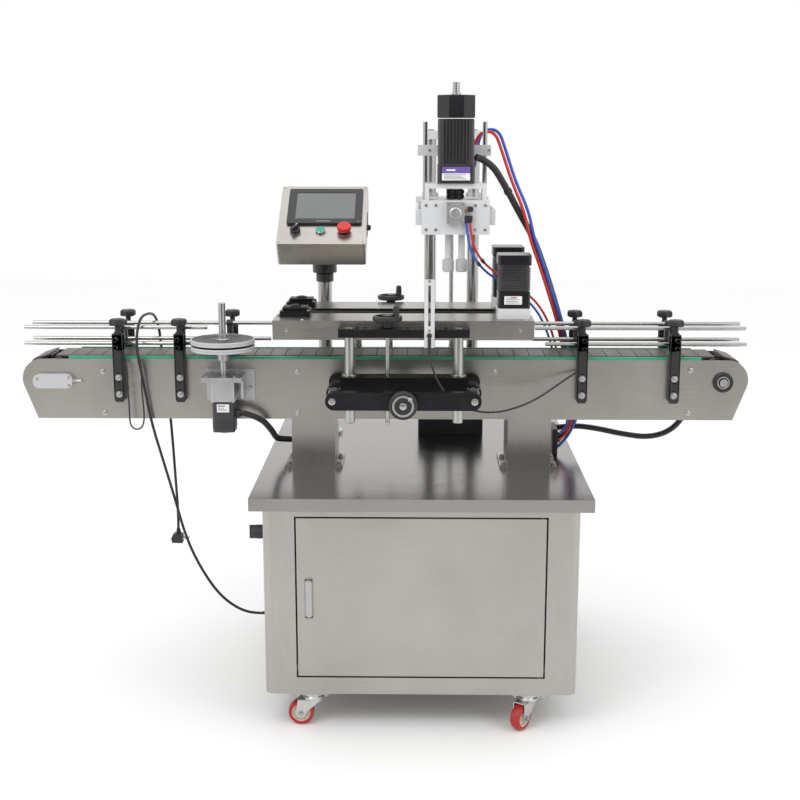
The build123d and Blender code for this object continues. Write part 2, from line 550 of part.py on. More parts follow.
with BuildPart() as gap_dial:
    rod("Y", SCREW_RADIUS, (CLAMP_X, CONVEYOR_Y - GAP_SCREW_REACH, GAP_SCREW_Z), 2 * GAP_SCREW_REACH)
    rod("Y", 16, (CLAMP_X, CONVEYOR_Y - 334, GAP_SCREW_Z), 19.5)
    rod("Y", 33, (CLAMP_X, CONVEYOR_Y - 344, GAP_SCREW_Z), 18)
    rod("Y", 8, (CLAMP_X, CONVEYOR_Y - 350, GAP_SCREW_Z), 8)
    rod("Y", 5, (CLAMP_X + 16, CONVEYOR_Y - 350, GAP_SCREW_Z + 16), 8)
save(gap_dial.part, "gap_dial")

for face in ("front", "rear"):
    sign = side_of(face)
    near_y, far_y = across(sign, BLOCK_NEAR, BLOCK_FAR)
    clamp_y = CONVEYOR_Y + sign * CLAMP_OFFSET
    with BuildPart() as slide_block:
        block(CLAMP_X - BLOCK_LENGTH / 2, CLAMP_X + BLOCK_LENGTH / 2, near_y, far_y, 810, BLOCK_TOP)
        block(CLAMP_X - 18, CLAMP_X + 18, near_y, far_y, 786, 812)
        for rod_x in SLIDE_ROD_X:
            rod("Y", 20, (rod_x, near_y, SLIDE_ROD_Z), BLOCK_DEPTH)
        for rod_x in SLIDE_ROD_X:
            rod("Y", SLIDE_ROD_RADIUS + RUNNING, (rod_x, near_y, SLIDE_ROD_Z), BLOCK_DEPTH, mode=Mode.SUBTRACT)
        rod("Y", SCREW_RADIUS + RUNNING, (CLAMP_X, near_y, GAP_SCREW_Z), BLOCK_DEPTH, mode=Mode.SUBTRACT)
        for rod_x in LIFT_ROD_X:
            rod("Z", LIFT_ROD_RADIUS + RUNNING, (rod_x, clamp_y, 780), 70, mode=Mode.SUBTRACT)
        rod("Z", LIFT_SCREW_RADIUS + RUNNING, (LIFT_SCREW_X, clamp_y, 780), 70, mode=Mode.SUBTRACT)
    save(slide_block.part, f"{face}_slide_block")

    with BuildPart() as lift_frame:
        bar0, bar1 = across(sign, COVER_OUTER, CLAMP_OFFSET + 18)
        block(CLAMP_X - 155, CLAMP_X + 155, bar0, bar1, BAR_BOTTOM, BAR_TOP)
        for rod_x in LIFT_ROD_X:
            rod("Z", LIFT_ROD_RADIUS, (rod_x, clamp_y, 731), BAR_BOTTOM - 731)
        rod("Z", LIFT_SCREW_RADIUS + RUNNING, (LIFT_SCREW_X, clamp_y, BAR_BOTTOM), 20, mode=Mode.SUBTRACT)
        if face == "front":
            block(99, 123, bar0 - 3, bar0, 915, 1076)
            block(108, 114, bar0 - 3, bar0, 966, 1062, mode=Mode.SUBTRACT)
    save(lift_frame.part, f"{face}_lift_frame")

    with BuildPart() as belt_cover:
        y0, y1 = across(sign, COVER_INNER, COVER_OUTER)
        block(COVER_LEFT, COVER_RIGHT, y0, y1, COVER_BOTTOM, COVER_TOP)
        y0, y1 = across(sign, COVER_INNER - 1, COVER_OUTER - SHEET)
        block(COVER_LEFT + SHEET, COVER_RIGHT - SHEET, y0, y1, COVER_BOTTOM - 1, COVER_TOP - SHEET,
              mode=Mode.SUBTRACT)
        rod("Z", 10, (BELT_MOTOR_X, CONVEYOR_Y + sign * PULLEY_OFFSET, COVER_BOTTOM), 60, mode=Mode.SUBTRACT)
    save(belt_cover.part, f"{face}_belt_cover")

    with BuildPart() as belt_motor:
        half = BELT_MOTOR_SIZE / 2
        motor_y = CONVEYOR_Y + sign * BELT_MOTOR_OFFSET
        block(BELT_MOTOR_X - half, BELT_MOTOR_X + half, motor_y - half, motor_y + half, COVER_TOP, 1126)
        rod("Z", PULLEY_SHAFT, (BELT_MOTOR_X, CONVEYOR_Y + sign * PULLEY_OFFSET, BELT_LOW),
            COVER_TOP - BELT_LOW)
    save(belt_motor.part, f"{face}_belt_motor")

    # Belt loop round two pulleys, with the tension block over the idler.
    pulley_y = CONVEYOR_Y + sign * PULLEY_OFFSET
    with BuildPart() as grip_belt:
        with BuildSketch(Plane.XY.offset(BELT_LOW)):
            with Locations(((PULLEY_LEFT_X + BELT_MOTOR_X) / 2, pulley_y)):
                SlotCenterToCenter(BELT_MOTOR_X - PULLEY_LEFT_X, 2 * (PULLEY_RADIUS + BELT_THICKNESS))
                SlotCenterToCenter(BELT_MOTOR_X - PULLEY_LEFT_X, 2 * PULLEY_RADIUS, mode=Mode.SUBTRACT)
        extrude(amount=BELT_HIGH - BELT_LOW)
        for pulley_x in (PULLEY_LEFT_X, BELT_MOTOR_X):
            rod("Z", PULLEY_RADIUS, (pulley_x, pulley_y, BELT_LOW), BELT_HIGH - BELT_LOW)
        rod("Z", PULLEY_SHAFT + RUNNING, (BELT_MOTOR_X, pulley_y, BELT_LOW - 1), BELT_HIGH - BELT_LOW + 2,
            mode=Mode.SUBTRACT)
        rod("Z", PULLEY_SHAFT, (PULLEY_LEFT_X, pulley_y, BELT_HIGH), COVER_TOP - SHEET - BELT_HIGH)
        block(PULLEY_LEFT_X - 37, PULLEY_LEFT_X + 37, pulley_y - 30, pulley_y + 30, COVER_TOP, 1000)
    save(grip_belt.part, f"{face}_grip_belt")

    with BuildPart() as lift_wheel:
        rod("Z", LIFT_SCREW_RADIUS, (LIFT_SCREW_X, clamp_y, 722), 240)
        rod("Z", 12, (LIFT_SCREW_X, clamp_y, BAR_TOP + SWIVEL_GAP), 30)
        rod("Z", 35.5, (LIFT_SCREW_X, clamp_y, 976), 12)
        rod("Z", 27, (LIFT_SCREW_X, clamp_y, 980), 8, mode=Mode.SUBTRACT)
        rod("Z", 12, (LIFT_SCREW_X, clamp_y, 976), 13)
        rod("Z", 7.5, (LIFT_SCREW_X + 21, clamp_y - 18, 980), 35)
    save(lift_wheel.part, f"{face}_lift_wheel")

# ---------------------------------------------------------------- capping head
COLUMN_X = [HEAD_X - COLUMN_SPREAD, HEAD_X + COLUMN_SPREAD]
GUIDE_X = [HEAD_X - GUIDE_SPREAD, HEAD_X + GUIDE_SPREAD]
BASE_TOP = 660.0
with BuildPart() as head_columns:
    block(HEAD_X - 90, HEAD_X + 90, COLUMN_Y - 35, COLUMN_Y + 35, TABLE_TOP, BASE_TOP)
    for column_x in COLUMN_X:
        rod("Z", COLUMN_RADIUS, (column_x, COLUMN_Y, BASE_TOP), COLUMN_TOP - BASE_TOP)
    block(HEAD_X - 77, HEAD_X + 77, COLUMN_Y - 22, COLUMN_Y + 22, COLUMN_TOP, COLUMN_TOP + 23)
    rod("Z", LEAD_SCREW_RADIUS + RUNNING, (HEAD_X, COLUMN_Y, COLUMN_TOP), 23, mode=Mode.SUBTRACT)
    rod("Z", LEAD_SCREW_RADIUS + RUNNING, (HEAD_X, COLUMN_Y, BASE_TOP - 30), 30, mode=Mode.SUBTRACT)
save(head_columns.part, "head_columns")

with BuildPart() as lift_screw:
    rod("Z", LEAD_SCREW_RADIUS, (HEAD_X, COLUMN_Y, BASE_TOP - 29), COLUMN_TOP + 40 - BASE_TOP + 29)
    rod("Z", 14, (HEAD_X, COLUMN_Y, COLUMN_TOP + 23 + SWIVEL_GAP), 20)
    rod("Z", 36, (HEAD_X, COLUMN_Y, COLUMN_TOP + 33), 12)
    rod("Z", 27, (HEAD_X, COLUMN_Y, COLUMN_TOP + 37), 8, mode=Mode.SUBTRACT)
    rod("Z", 14, (HEAD_X, COLUMN_Y, COLUMN_TOP + 33), 12)
save(lift_screw.part, "lift_screw")

ARM_INNER = ARM_SPREAD - 10
ARM_OUTER = ARM_SPREAD + 10
CROSS_LOW = 1188.0
CROSS_HIGH = 1226.0
CYLINDER_Y = 34.0
CYLINDER_TOP = 1306.0
PISTON_RADIUS = 5.0
with BuildPart() as carriage:
    block(HEAD_X - ARM_OUTER, HEAD_X + ARM_OUTER, COLUMN_Y - 30, COLUMN_Y + 30, 1170, 1240)
    for side in (-1, 1):
        x0, x1 = sorted((HEAD_X + side * ARM_INNER, HEAD_X + side * ARM_OUTER))
        block(x0, x1, HEAD_FRONT + 16, COLUMN_Y - 30, CROSS_LOW, CROSS_HIGH)
    block(HEAD_X - ARM_INNER - 1, HEAD_X + ARM_INNER + 1, GUIDE_Y - 12, 56, CROSS_LOW, CROSS_HIGH)
    block(HEAD_X - 20, HEAD_X + 20, CYLINDER_Y - 20, CYLINDER_Y + 20, CROSS_HIGH, CYLINDER_TOP)
    rod("Z", PISTON_RADIUS + RUNNING, (HEAD_X, CYLINDER_Y, 1228), 110, mode=Mode.SUBTRACT)
    for guide_x in GUIDE_X:
        rod("Z", GUIDE_RADIUS + RUNNING, (guide_x, GUIDE_Y, CROSS_LOW), CROSS_HIGH - CROSS_LOW, mode=Mode.SUBTRACT)
    for column_x in COLUMN_X:
        rod("Z", COLUMN_RADIUS + RUNNING, (column_x, COLUMN_Y, 1160), 90, mode=Mode.SUBTRACT)
    rod("Z", LEAD_SCREW_RADIUS + RUNNING, (HEAD_X, COLUMN_Y, 1160), 90, mode=Mode.SUBTRACT)
save(carriage.part, "carriage")

FRAME_TOP = 1289.0
with BuildPart() as head_block:
    block(HEAD_X - HEAD_BLOCK_WIDTH / 2 + 8, HEAD_X + HEAD_BLOCK_WIDTH / 2 - 8, HEAD_FRONT, HEAD_BACK,
          HEAD_BLOCK_BOTTOM, HEAD_BLOCK_TOP)
    block(HEAD_X - HEAD_BLOCK_WIDTH / 2, HEAD_X + HEAD_BLOCK_WIDTH / 2, HEAD_FRONT, HEAD_FRONT + 15,
          HEAD_BLOCK_BOTTOM, HEAD_BLOCK_TOP)
    block(HEAD_X - HEAD_BLOCK_WIDTH / 2, HEAD_X + HEAD_BLOCK_WIDTH / 2, HEAD_FRONT, GUIDE_Y + 12,
          HEAD_BLOCK_BOTTOM, HEAD_BLOCK_BOTTOM + 14)
    rod("Z", CHUCK_RADIUS + CHUCK_CLEARANCE, (HEAD_X, SPINDLE_Y, HEAD_BLOCK_BOTTOM), 50, mode=Mode.SUBTRACT)
    rod("Z", SPINDLE_RADIUS + RUNNING, (HEAD_X, SPINDLE_Y, HEAD_BLOCK_BOTTOM), 100, mode=Mode.SUBTRACT)
    for x0 in (HEAD_X - 75, HEAD_X + 65):
        block(x0, x0 + 10, HEAD_FRONT + 6, HEAD_BACK, HEAD_BLOCK_TOP, FRAME_TOP)
    block(HEAD_X - 75, HEAD_X + 75, HEAD_FRONT + 6, HEAD_BACK, FRAME_TOP - 12, FRAME_TOP)
    rod("Z", 20, (HEAD_X, SPINDLE_Y, FRAME_TOP - 12), 12, mode=Mode.SUBTRACT)
    block(HEAD_X - 22, HEAD_X + 21, HEAD_FRONT - 18, HEAD_FRONT, 1193, 1245)
    for guide_x in GUIDE_X:
        rod("Z", GUIDE_RADIUS, (guide_x, GUIDE_Y, HEAD_BLOCK_BOTTOM + 14), GUIDE_TOP - HEAD_BLOCK_BOTTOM - 14)
    block(HEAD_X - 93, HEAD_X + 89, GUIDE_Y - 10, GUIDE_Y + 10, 1354, 1380)
    block(HEAD_X - 10, HEAD_X + 10, GUIDE_Y + 10, CYLINDER_Y + 10, 1356, 1368)
    rod("Z", PISTON_RADIUS, (HEAD_X, CYLINDER_Y, 1276), 80)
save(head_block.part, "head_block")

with BuildPart() as capping_motor:
    block(HEAD_X - 45, HEAD_X + 45, SPINDLE_Y - 45, SPINDLE_Y + 45, FRAME_TOP, 1336)
    with BuildSketch(Plane.XY.offset(1336)):
        with Locations((HEAD_X, SPINDLE_Y)):
            RectangleRounded(88, 88, 20)
    extrude(amount=109)
    with BuildSketch(Plane.XY.offset(1445)):
        with Locations((HEAD_X, SPINDLE_Y)):
            RegularPolygon(46, 8, major_radius=False, rotation=22.5)
    extrude(amount=54)
    rod("Z", 9, (HEAD_X, SPINDLE_Y, 1499), 31)
save(capping_motor.part, "capping_motor")

with BuildPart() as spindle:
    rod("Z", SPINDLE_RADIUS, (HEAD_X, SPINDLE_Y, 1195), FRAME_TOP - SWIVEL_GAP - 1195)
    rod("Z", 22, (HEAD_X, SPINDLE_Y, HEAD_BLOCK_TOP + 2), 22)
    rod("Z", CHUCK_RADIUS, (HEAD_X, SPINDLE_Y, HEAD_BLOCK_BOTTOM + 14), 34)
save(spindle.part, "spindle")

for finger_side, finger_sign in (("left", -1), ("right", 1)):
    finger_x = HEAD_X + finger_sign * FINGER_OFFSET
    with BuildPart() as finger:
        x0, x1 = sorted((HEAD_X + finger_sign * 3, HEAD_X + finger_sign * 30))
        block(x0, x1, SPINDLE_Y - 9, SPINDLE_Y + 9, HEAD_BLOCK_BOTTOM + 2, HEAD_BLOCK_BOTTOM + 14 - SWIVEL_GAP)
        rod("Z", 8.25, (finger_x, SPINDLE_Y, 1104), HEAD_BLOCK_BOTTOM + 2 - 1104)
        rod("Z", 14.5, (finger_x, SPINDLE_Y, 1071), 33)
    save(finger.part, f"finger_{finger_side}")

# ---------------------------------------------------------------- operator panel
PANEL_FACE = Plane(origin=(POLE_X, PANEL_CENTRE_Y, PANEL_CENTRE_Z), x_dir=(1, 0, 0),
                   z_dir=(0, -sin(radians(PANEL_TILT)), cos(radians(PANEL_TILT))))
CONTROL_ROW = -72.0
CONTROLS = {"selector": -70.0, "start_button": -3.0, "emergency_stop": 60.0}
CONTROL_STEM = 10.5
with BuildPart() as panel_pole:
    rod("Z", POLE_RADIUS, (POLE_X, POLE_Y, TABLE_TOP), POLE_TOP - TABLE_TOP)
    rod("Z", 45, (POLE_X, POLE_Y, TABLE_TOP), 8)
    rod("Z", 10, (POLE_X, POLE_Y, POLE_TOP), 18)
save(panel_pole.part, "panel_pole")

with BuildPart() as panel_box:
    with BuildSketch(PANEL_FACE.offset(-PANEL_THICKNESS)):
        RectangleRounded(PANEL_WIDTH, PANEL_SLOPE, 6)
    extrude(amount=PANEL_THICKNESS)
    rod("Z", 33, (POLE_X, POLE_Y, POLE_TOP + SWIVEL_GAP), 26)
    rod("Z", 16, (POLE_X, POLE_Y, POLE_TOP + 20), 105)
    rod("Z", 10 + RUNNING, (POLE_X, POLE_Y, POLE_TOP), 19, mode=Mode.SUBTRACT)
    with BuildSketch(PANEL_FACE.offset(-PANEL_THICKNESS + SHEET)):
        Rectangle(PANEL_WIDTH - 2 * SHEET, PANEL_SLOPE - 2 * SHEET)
    extrude(amount=PANEL_THICKNESS - 2 * SHEET, mode=Mode.SUBTRACT)
    with BuildSketch(PANEL_FACE.offset(-SHEET)):
        for control_x in CONTROLS.values():
            with Locations((control_x, CONTROL_ROW)):
                Circle(CONTROL_STEM + RUNNING)
    extrude(amount=SHEET, mode=Mode.SUBTRACT)
    with BuildSketch(PANEL_FACE):
        with Locations((5, 30)):
            RectangleRounded(200, 150, 5)
    extrude(amount=5)
save(panel_box.part, "panel_box")

CAPS = {"selector": (14.0, 1.0, 9.0), "start_button": (13.0, 2.0, 6.0), "emergency_stop": (19.0, 7.0, 14.0)}
for control, (cap_radius, cap_low, cap_height) in CAPS.items():
    with BuildPart() as control_piece:
        with BuildSketch(PANEL_FACE.offset(-25)):
            with Locations((CONTROLS[control], CONTROL_ROW)):
                Circle(CONTROL_STEM)
        extrude(amount=25 + cap_low + cap_height)
        with BuildSketch(PANEL_FACE.offset(cap_low)):
            with Locations((CONTROLS[control], CONTROL_ROW)):
                Circle(cap_radius)
        extrude(amount=cap_height)
        if control == "selector":
            with BuildSketch(PANEL_FACE.offset(cap_low + cap_height)):
                with Locations((CONTROLS[control], CONTROL_ROW)):
                    SlotOverall(26, 8, rotation=60)
            extrude(amount=10)
    save(control_piece.part, control)

# ---------------------------------------------------------------- cables and air tubes
MAINS_RADIUS = 3.5
SENSOR_RADIUS = 2.5
CONDUIT_RADIUS = 8.0
TUBE_RADIUS = 4.0
SMALL_TUBE_RADIUS = 3.0

MAINS_ROUTE = [
    (-292.5, -100, 182), (-338, -103, 180), (-385, -110, 198), (-432, -118, 242), (-475, -125, 316),
    (-508, -130, 398), (-531, -135, 500), (-556, -142, 604), (-581, -148, 706), (-596, -152, 811),
    (-608, -154, 884), (-609, -138, 932), (-604, -112, 962), (-597, -64, 965), (-590, -18, 957),
    (-587, 18, 924), (-585, 30, 872), (-577, 28, 775), (-567, 24, 690), (-563, 27, 600),
    (-559, 24, 505), (-556, 26, 425), (-557, 26, 372),
]
LEFT_SENSOR_ROUTE = [
    (-640.6, -150, 905), (-624, -158, 912), (-604, -165, 892), (-595, -166, 850), (-597, -167, 790),
    (-593, -168, 740), (-594, -168, 706), (-603, -168, 690), (-621, -168, 690), (-630, -168, 706),
    (-629, -168, 745), (-632, -166, 795), (-631, -161, 838), (-639.5, -150, 862),
]
BELT_SENSOR_ROUTE = [
    (111, -277.5, 914.2), (113, -283, 892), (120, -293, 862), (138, -304, 825), (166, -311, 796),
    (202, -315, 776), (240, -313, 767), (280, -300, 766), (322, -276, 772), (366, -242, 783),
    (408, -207, 802), (446, -170, 820), (472, -150, 832),
]
DISC_CONDUIT_ROUTE = [
    (-348, -180, 735), (-305, -177, 724), (-281, -133, 680), (-277, -74, 645), (-266, -14, 629),
    (-243, 38, 615), (ELBOW_X - 4, 58, 610),
]
HEAD_CONDUIT_ROUTE = [
    (224, -58, 1352), (261, -45, 1340), (298, -12, 1284), (338, 10, 1213), (376, 26, 1150),
    (404, 38, 1080), (430, 46, 1005), (454, 55, 930), (476, 60, 850), (493, 60, 775),
    (502, 58, 705), (495, 54, 645), (ENTRY_X1 + 5, 50, 618),
]
RED_TUBE_ROUTE = [
    (198.5, 24, 1290), (220, 23, 1306), (222, 21, 1362), (234, 17, 1410), (274, 13, 1414),
    (292, 8, 1366), (317, -2, 1291), (350, -8, 1216), (367, 9, 1146), (394, 22, 1078),
    (420, 31, 1003), (445, 40, 928), (463, 46, 850), (480, 46, 775), (489, 42, 705),
    (480, 36, 645), (ENTRY_X1 + 3, 30, 612),
]
BLUE_TUBE_ROUTE = [
    (198.5, 44, 1290), (224, 42, 1308), (230, 36, 1364), (242, 30, 1416), (284, 24, 1419),
    (302, 14, 1368), (327, 4, 1291), (361, -4, 1218), (377, 9, 1149), (404, 22, 1080),
    (430, 31, 1004), (455, 40, 929), (473, 46, 851), (490, 46, 775), (499, 42, 702),
    (491, 36, 634), (ENTRY_X1 + 3, 20, 603),
]
FRONT_RED_ROUTE = [
    (210, -116, 1196), (213, -116, 1160), (228, -112, 1118), (262, -94, 1080), (312, -64, 1048),
    (362, -34, 1012), (400, -12, 970), (428, 8, 912), (446, 24, 848), (462, 32, 790),
    (478, 33, 732), (487, 27, 681), (480, 20, 640), (ENTRY_X1 + 2, 12, 622),
]
FRONT_BLUE_ROUTE = [
    (201, -116, 1196), (204, -119, 1158), (218, -117, 1112), (252, -100, 1072), (302, -72, 1040),
    (352, -42, 1004), (390, -18, 963), (418, 2, 905), (437, 18, 842), (452, 26, 786),
    (468, 26, 728), (476, 18, 684), (472, 12, 655), (ENTRY_X1 + 3, 10, 638),
]
DRIVE_CONDUIT_ROUTE = [
    (ENTRY_X1 + 1.5, 78, 640), (498, 76, 647), (560, 72, 640), (628, 70, 625), (700, 68, 616),
    (760, 68, 636), (798, 69, 690), (811, 70, 759),
]


def bend_radii(points):
    """Radius of each corner: 0.45 of the shorter run over the tangent of half the turn."""
    radii = []
    for before, here, after in zip(points, points[1:], points[2:]):
        run_in = Vector(*here) - Vector(*before)
        run_out = Vector(*after) - Vector(*here)
        turn = radians(run_in.get_angle(run_out))
        radii.append(0.45 * min(run_in.length, run_out.length) / tan(turn / 2))
    return radii


def cable(name, points, radius):
    """Round tube along straight runs joined by tangent arcs, with its measures printed."""
    radii = bend_radii(points)
    with BuildPart() as tube:
        with BuildLine() as path:
            FilletPolyline(*points, radius=radii)
        with BuildSketch(Plane(origin=points[0], z_dir=Vector(*points[1]) - Vector(*points[0]))):
            Circle(radius)
        sweep(path=path.wires()[0])
    length = path.wires()[0].length
    share = tube.part.volume / (pi * radius * radius * length)
    print(f"{name}: length {length:.0f}, least radius {min(radii):.0f} "
          f"({min(radii) / (2 * radius):.1f} diameters), volume share {share:.4f}")
    return tube.part


def save_group(name, parts):
    """Write several separate solids as one file."""
    solids = [solid for part in parts for solid in part.solids()]
    save(Compound(solids), name)


save(cable("mains cord", MAINS_ROUTE, MAINS_RADIUS), "mains_cord")
save_group("cables_and_conduits", [
    cable("left sensor cable", LEFT_SENSOR_ROUTE, 2.0),
    cable("belt sensor cable", BELT_SENSOR_ROUTE, SENSOR_RADIUS),
    cable("disc conduit", DISC_CONDUIT_ROUTE, CONDUIT_RADIUS),
    cable("head conduit", HEAD_CONDUIT_ROUTE, CONDUIT_RADIUS + 1),
    cable("drive conduit", DRIVE_CONDUIT_ROUTE, CONDUIT_RADIUS),
])
save_group("air_tubes", [
    cable("red tube", RED_TUBE_ROUTE, TUBE_RADIUS),
    cable("blue tube", BLUE_TUBE_ROUTE, TUBE_RADIUS),
    cable("front red tube", FRONT_RED_ROUTE, SMALL_TUBE_RADIUS),
    cable("front blue tube", FRONT_BLUE_ROUTE, SMALL_TUBE_RADIUS),
])

PLUG_X, PLUG_Y, PLUG_TOP = MAINS_ROUTE[-1]
with BuildPart() as mains_plug:
    rod("Z", 6, (PLUG_X, PLUG_Y, PLUG_TOP - 14), 13.7)
    block(PLUG_X - 19, PLUG_X + 12, PLUG_Y - 12, PLUG_Y + 12, PLUG_TOP - 40, PLUG_TOP - 14)
    for pin_y in (-6, 6):
        rod("X", 2.2, (PLUG_X + 12, PLUG_Y + pin_y, PLUG_TOP - 27), 17)
save(mains_plug.part, "mains_plug")
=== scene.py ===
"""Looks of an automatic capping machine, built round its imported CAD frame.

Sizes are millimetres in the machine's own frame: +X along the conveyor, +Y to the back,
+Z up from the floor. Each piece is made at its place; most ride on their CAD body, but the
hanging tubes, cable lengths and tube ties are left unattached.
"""

import logging
import math
from dataclasses import dataclass, field
from enum import Enum
from typing import Callable, Optional, Sequence, Union

import bmesh
import bpy
from mathutils import Matrix, Vector

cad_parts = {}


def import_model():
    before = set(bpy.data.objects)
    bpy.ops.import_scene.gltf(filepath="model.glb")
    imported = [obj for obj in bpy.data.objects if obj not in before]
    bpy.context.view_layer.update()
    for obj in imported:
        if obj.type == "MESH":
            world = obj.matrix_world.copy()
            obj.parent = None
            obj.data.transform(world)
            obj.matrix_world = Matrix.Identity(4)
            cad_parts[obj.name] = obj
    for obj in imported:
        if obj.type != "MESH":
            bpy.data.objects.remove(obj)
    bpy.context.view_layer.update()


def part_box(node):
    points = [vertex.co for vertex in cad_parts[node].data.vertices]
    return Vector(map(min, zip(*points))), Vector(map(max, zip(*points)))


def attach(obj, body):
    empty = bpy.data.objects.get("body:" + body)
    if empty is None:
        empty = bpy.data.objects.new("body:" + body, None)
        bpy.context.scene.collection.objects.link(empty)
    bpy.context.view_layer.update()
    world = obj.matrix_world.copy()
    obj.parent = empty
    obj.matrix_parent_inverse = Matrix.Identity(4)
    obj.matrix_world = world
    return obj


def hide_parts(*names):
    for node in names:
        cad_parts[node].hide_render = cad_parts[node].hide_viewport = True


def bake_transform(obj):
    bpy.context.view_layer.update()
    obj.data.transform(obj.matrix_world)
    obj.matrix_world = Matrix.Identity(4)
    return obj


LOG = logging.getLogger("capping_machine")
MM = 0.001
Point = tuple[float, float, float]
Pair = tuple[float, float]
Colour = tuple[float, float, float]


class Axis(Enum):
    """Direction that a turned or extruded part stands along."""

    X = 0
    Y = 1
    Z = 2

    def turn(self) -> Matrix:
        """Rotation that lays +Z along this axis."""
        if self is Axis.X:
            return Matrix.Rotation(math.pi / 2, 4, "Y")
        if self is Axis.Y:
            return Matrix.Rotation(-math.pi / 2, 4, "X")
        return Matrix.Identity(4)


@dataclass(frozen=True)
class Extent:
    """A box in millimetres."""

    x0: float
    x1: float
    y0: float
    y1: float
    z0: float
    z1: float

    @classmethod
    def of(cls, node: str) -> "Extent":
        """Box of a CAD node at rest.

        Args:
            node: Name of the CAD node.

        Returns:
            Its box in millimetres.
        """
        low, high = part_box(node)
        low, high = low / MM, high / MM
        return cls(low.x, high.x, low.y, high.y, low.z, high.z)

    @property
    def middle(self) -> Vector:
        """Centre of the box."""
        return Vector(((self.x0 + self.x1) / 2, (self.y0 + self.y1) / 2, (self.z0 + self.z1) / 2))

    def holds(self, point: Vector) -> bool:
        """Whether a point lies in the box."""
        return (self.x0 <= point.x <= self.x1 and self.y0 <= point.y <= self.y1
                and self.z0 <= point.z <= self.z1)


def above(z: float, below: float = 1e6) -> Extent:
    """Everything between two heights."""
    return Extent(-1e6, 1e6, -1e6, 1e6, z, below)


# ---------------------------------------------------------------- shader graph
class Sock:
    """Output of a shader node. Arithmetic on it adds Math nodes."""

    def __init__(self, graph: "Graph", socket: bpy.types.NodeSocket) -> None:
        """Keep the socket and the graph that new nodes go to."""
        self.graph = graph
        self.socket = socket

    def _math(self, operation: str, first: "Value", second: "Value") -> "Sock":
        """Add one Math node."""
        return self.graph.node("ShaderNodeMath", {"operation": operation}, {0: first, 1: second})

    def __add__(self, other: "Value") -> "Sock":
        """Sum."""
        return self._math("ADD", self, other)

    def __radd__(self, other: "Value") -> "Sock":
        """Sum with the number first."""
        return self._math("ADD", other, self)

    def __sub__(self, other: "Value") -> "Sock":
        """Difference."""
        return self._math("SUBTRACT", self, other)

    def __rsub__(self, other: "Value") -> "Sock":
        """Difference with the number first."""
        return self._math("SUBTRACT", other, self)

    def __mul__(self, other: "Value") -> "Sock":
        """Product."""
        return self._math("MULTIPLY", self, other)

    def __rmul__(self, other: "Value") -> "Sock":
        """Product with the number first."""
        return self._math("MULTIPLY", other, self)

    def __pow__(self, other: "Value") -> "Sock":
        """Power."""
        return self._math("POWER", self, other)


Value = Union[Sock, float, Sequence[float]]


class Graph:
    """Node tree of one material, with a Principled shader ready to feed."""

    def __init__(self, name: str) -> None:
        """Start an empty material.

        Args:
            name: Name of the material.
        """
        self.material = bpy.data.materials.new(name)
        self.material.use_nodes = True
        self.tree = self.material.node_tree
        self.shader = self.tree.nodes["Principled BSDF"]
        self.place = self.node("ShaderNodeTexCoord", output="Object")

    def feed(self, socket: bpy.types.NodeSocket, value: Value) -> None:
        """Link a value to an input socket, or set it there.

        Args:
            socket: Input socket.
            value: Another node's output, a number or a colour.
        """
        if isinstance(value, Sock):
            self.tree.links.new(value.socket, socket)
        elif isinstance(value, (int, float)):
            socket.default_value = float(value)
        else:
            values = tuple(value)
            wide = len(socket.default_value) == 4 and len(values) == 3
            socket.default_value = values + (1.0,) if wide else values

    def node(self, kind: str, settings: Optional[dict] = None, inputs: Optional[dict] = None,
            output: Union[int, str] = 0) -> Sock:
        """Add any node.

        Args:
            kind: Type name of the node.
            settings: Properties set first. "stops" gives a ramp's (position, colour) list.
            inputs: Values or links, by socket name or number.
            output: Which output to hand back.

        Returns:
            The chosen output.
        """
        made = self.tree.nodes.new(kind)
        for key, value in (settings or {}).items():
            if key == "stops":
                ramp = made.color_ramp.elements
                for index, (position, colour) in enumerate(value):
                    stop = ramp[index] if index < 2 else ramp.new(position)
                    stop.position = position
                    stop.color = (*colour, 1.0)
            else:
                setattr(made, key, value)
        for key, value in (inputs or {}).items():
            self.feed(made.inputs[key], value)
        return Sock(self, made.outputs[output])

    def noise(self, size: float, stretch: Point = (1.0, 1.0, 1.0), detail: float = 3.0) -> Sock:
        """Noise from 0 to 1.

        Args:
            size: Width of its spots in millimetres.
            stretch: How many times longer the spots are along each axis.
            detail: Octaves of finer noise.

        Returns:
            The noise value.
        """
        scale = tuple(1.0 / (size * MM * s) for s in stretch)
        spot = self.node("ShaderNodeMapping", {}, {"Vector": self.place, "Scale": scale})
        return self.node("ShaderNodeTexNoise", {}, {"Vector": spot, "Scale": 1.0, "Detail": detail})

    def blend(self, factor: Value, low: Value, high: Value) -> Sock:
        """Mix of two colours.

        Args:
            factor: 0 gives the first colour, 1 the second.
            low: First colour.
            high: Second colour.

        Returns:
            The mixed colour.
        """
        return self.node("ShaderNodeMix", {"data_type": "RGBA"}, {0: factor, 6: low, 7: high}, 2)

    def step(self, value: Sock, low: float, high: float) -> Sock:
        """Value moved from the given range to 0..1 and clamped."""
        return self.node("ShaderNodeMapRange", {"clamp": True}, {"Value": value, "From Min": low,
                "From Max": high})

    def bump(self, height: Sock, depth: float, strength: float = 1.0) -> None:
        """Feed a height to the shader's normal.

        Args:
            height: Height from 0 to 1.
            depth: Depth of the relief in millimetres.
            strength: Share of the effect.
        """
        normal = self.node("ShaderNodeBump", {}, {"Height": height, "Distance": depth * MM,
                "Strength": strength})
        self.feed(self.shader.inputs["Normal"], normal)

    def set(self, **values: Value) -> None:
        """Feed shader inputs, named with underscores for blanks."""
        for key, value in values.items():
            self.feed(self.shader.inputs[key.replace("_", " ")], value)


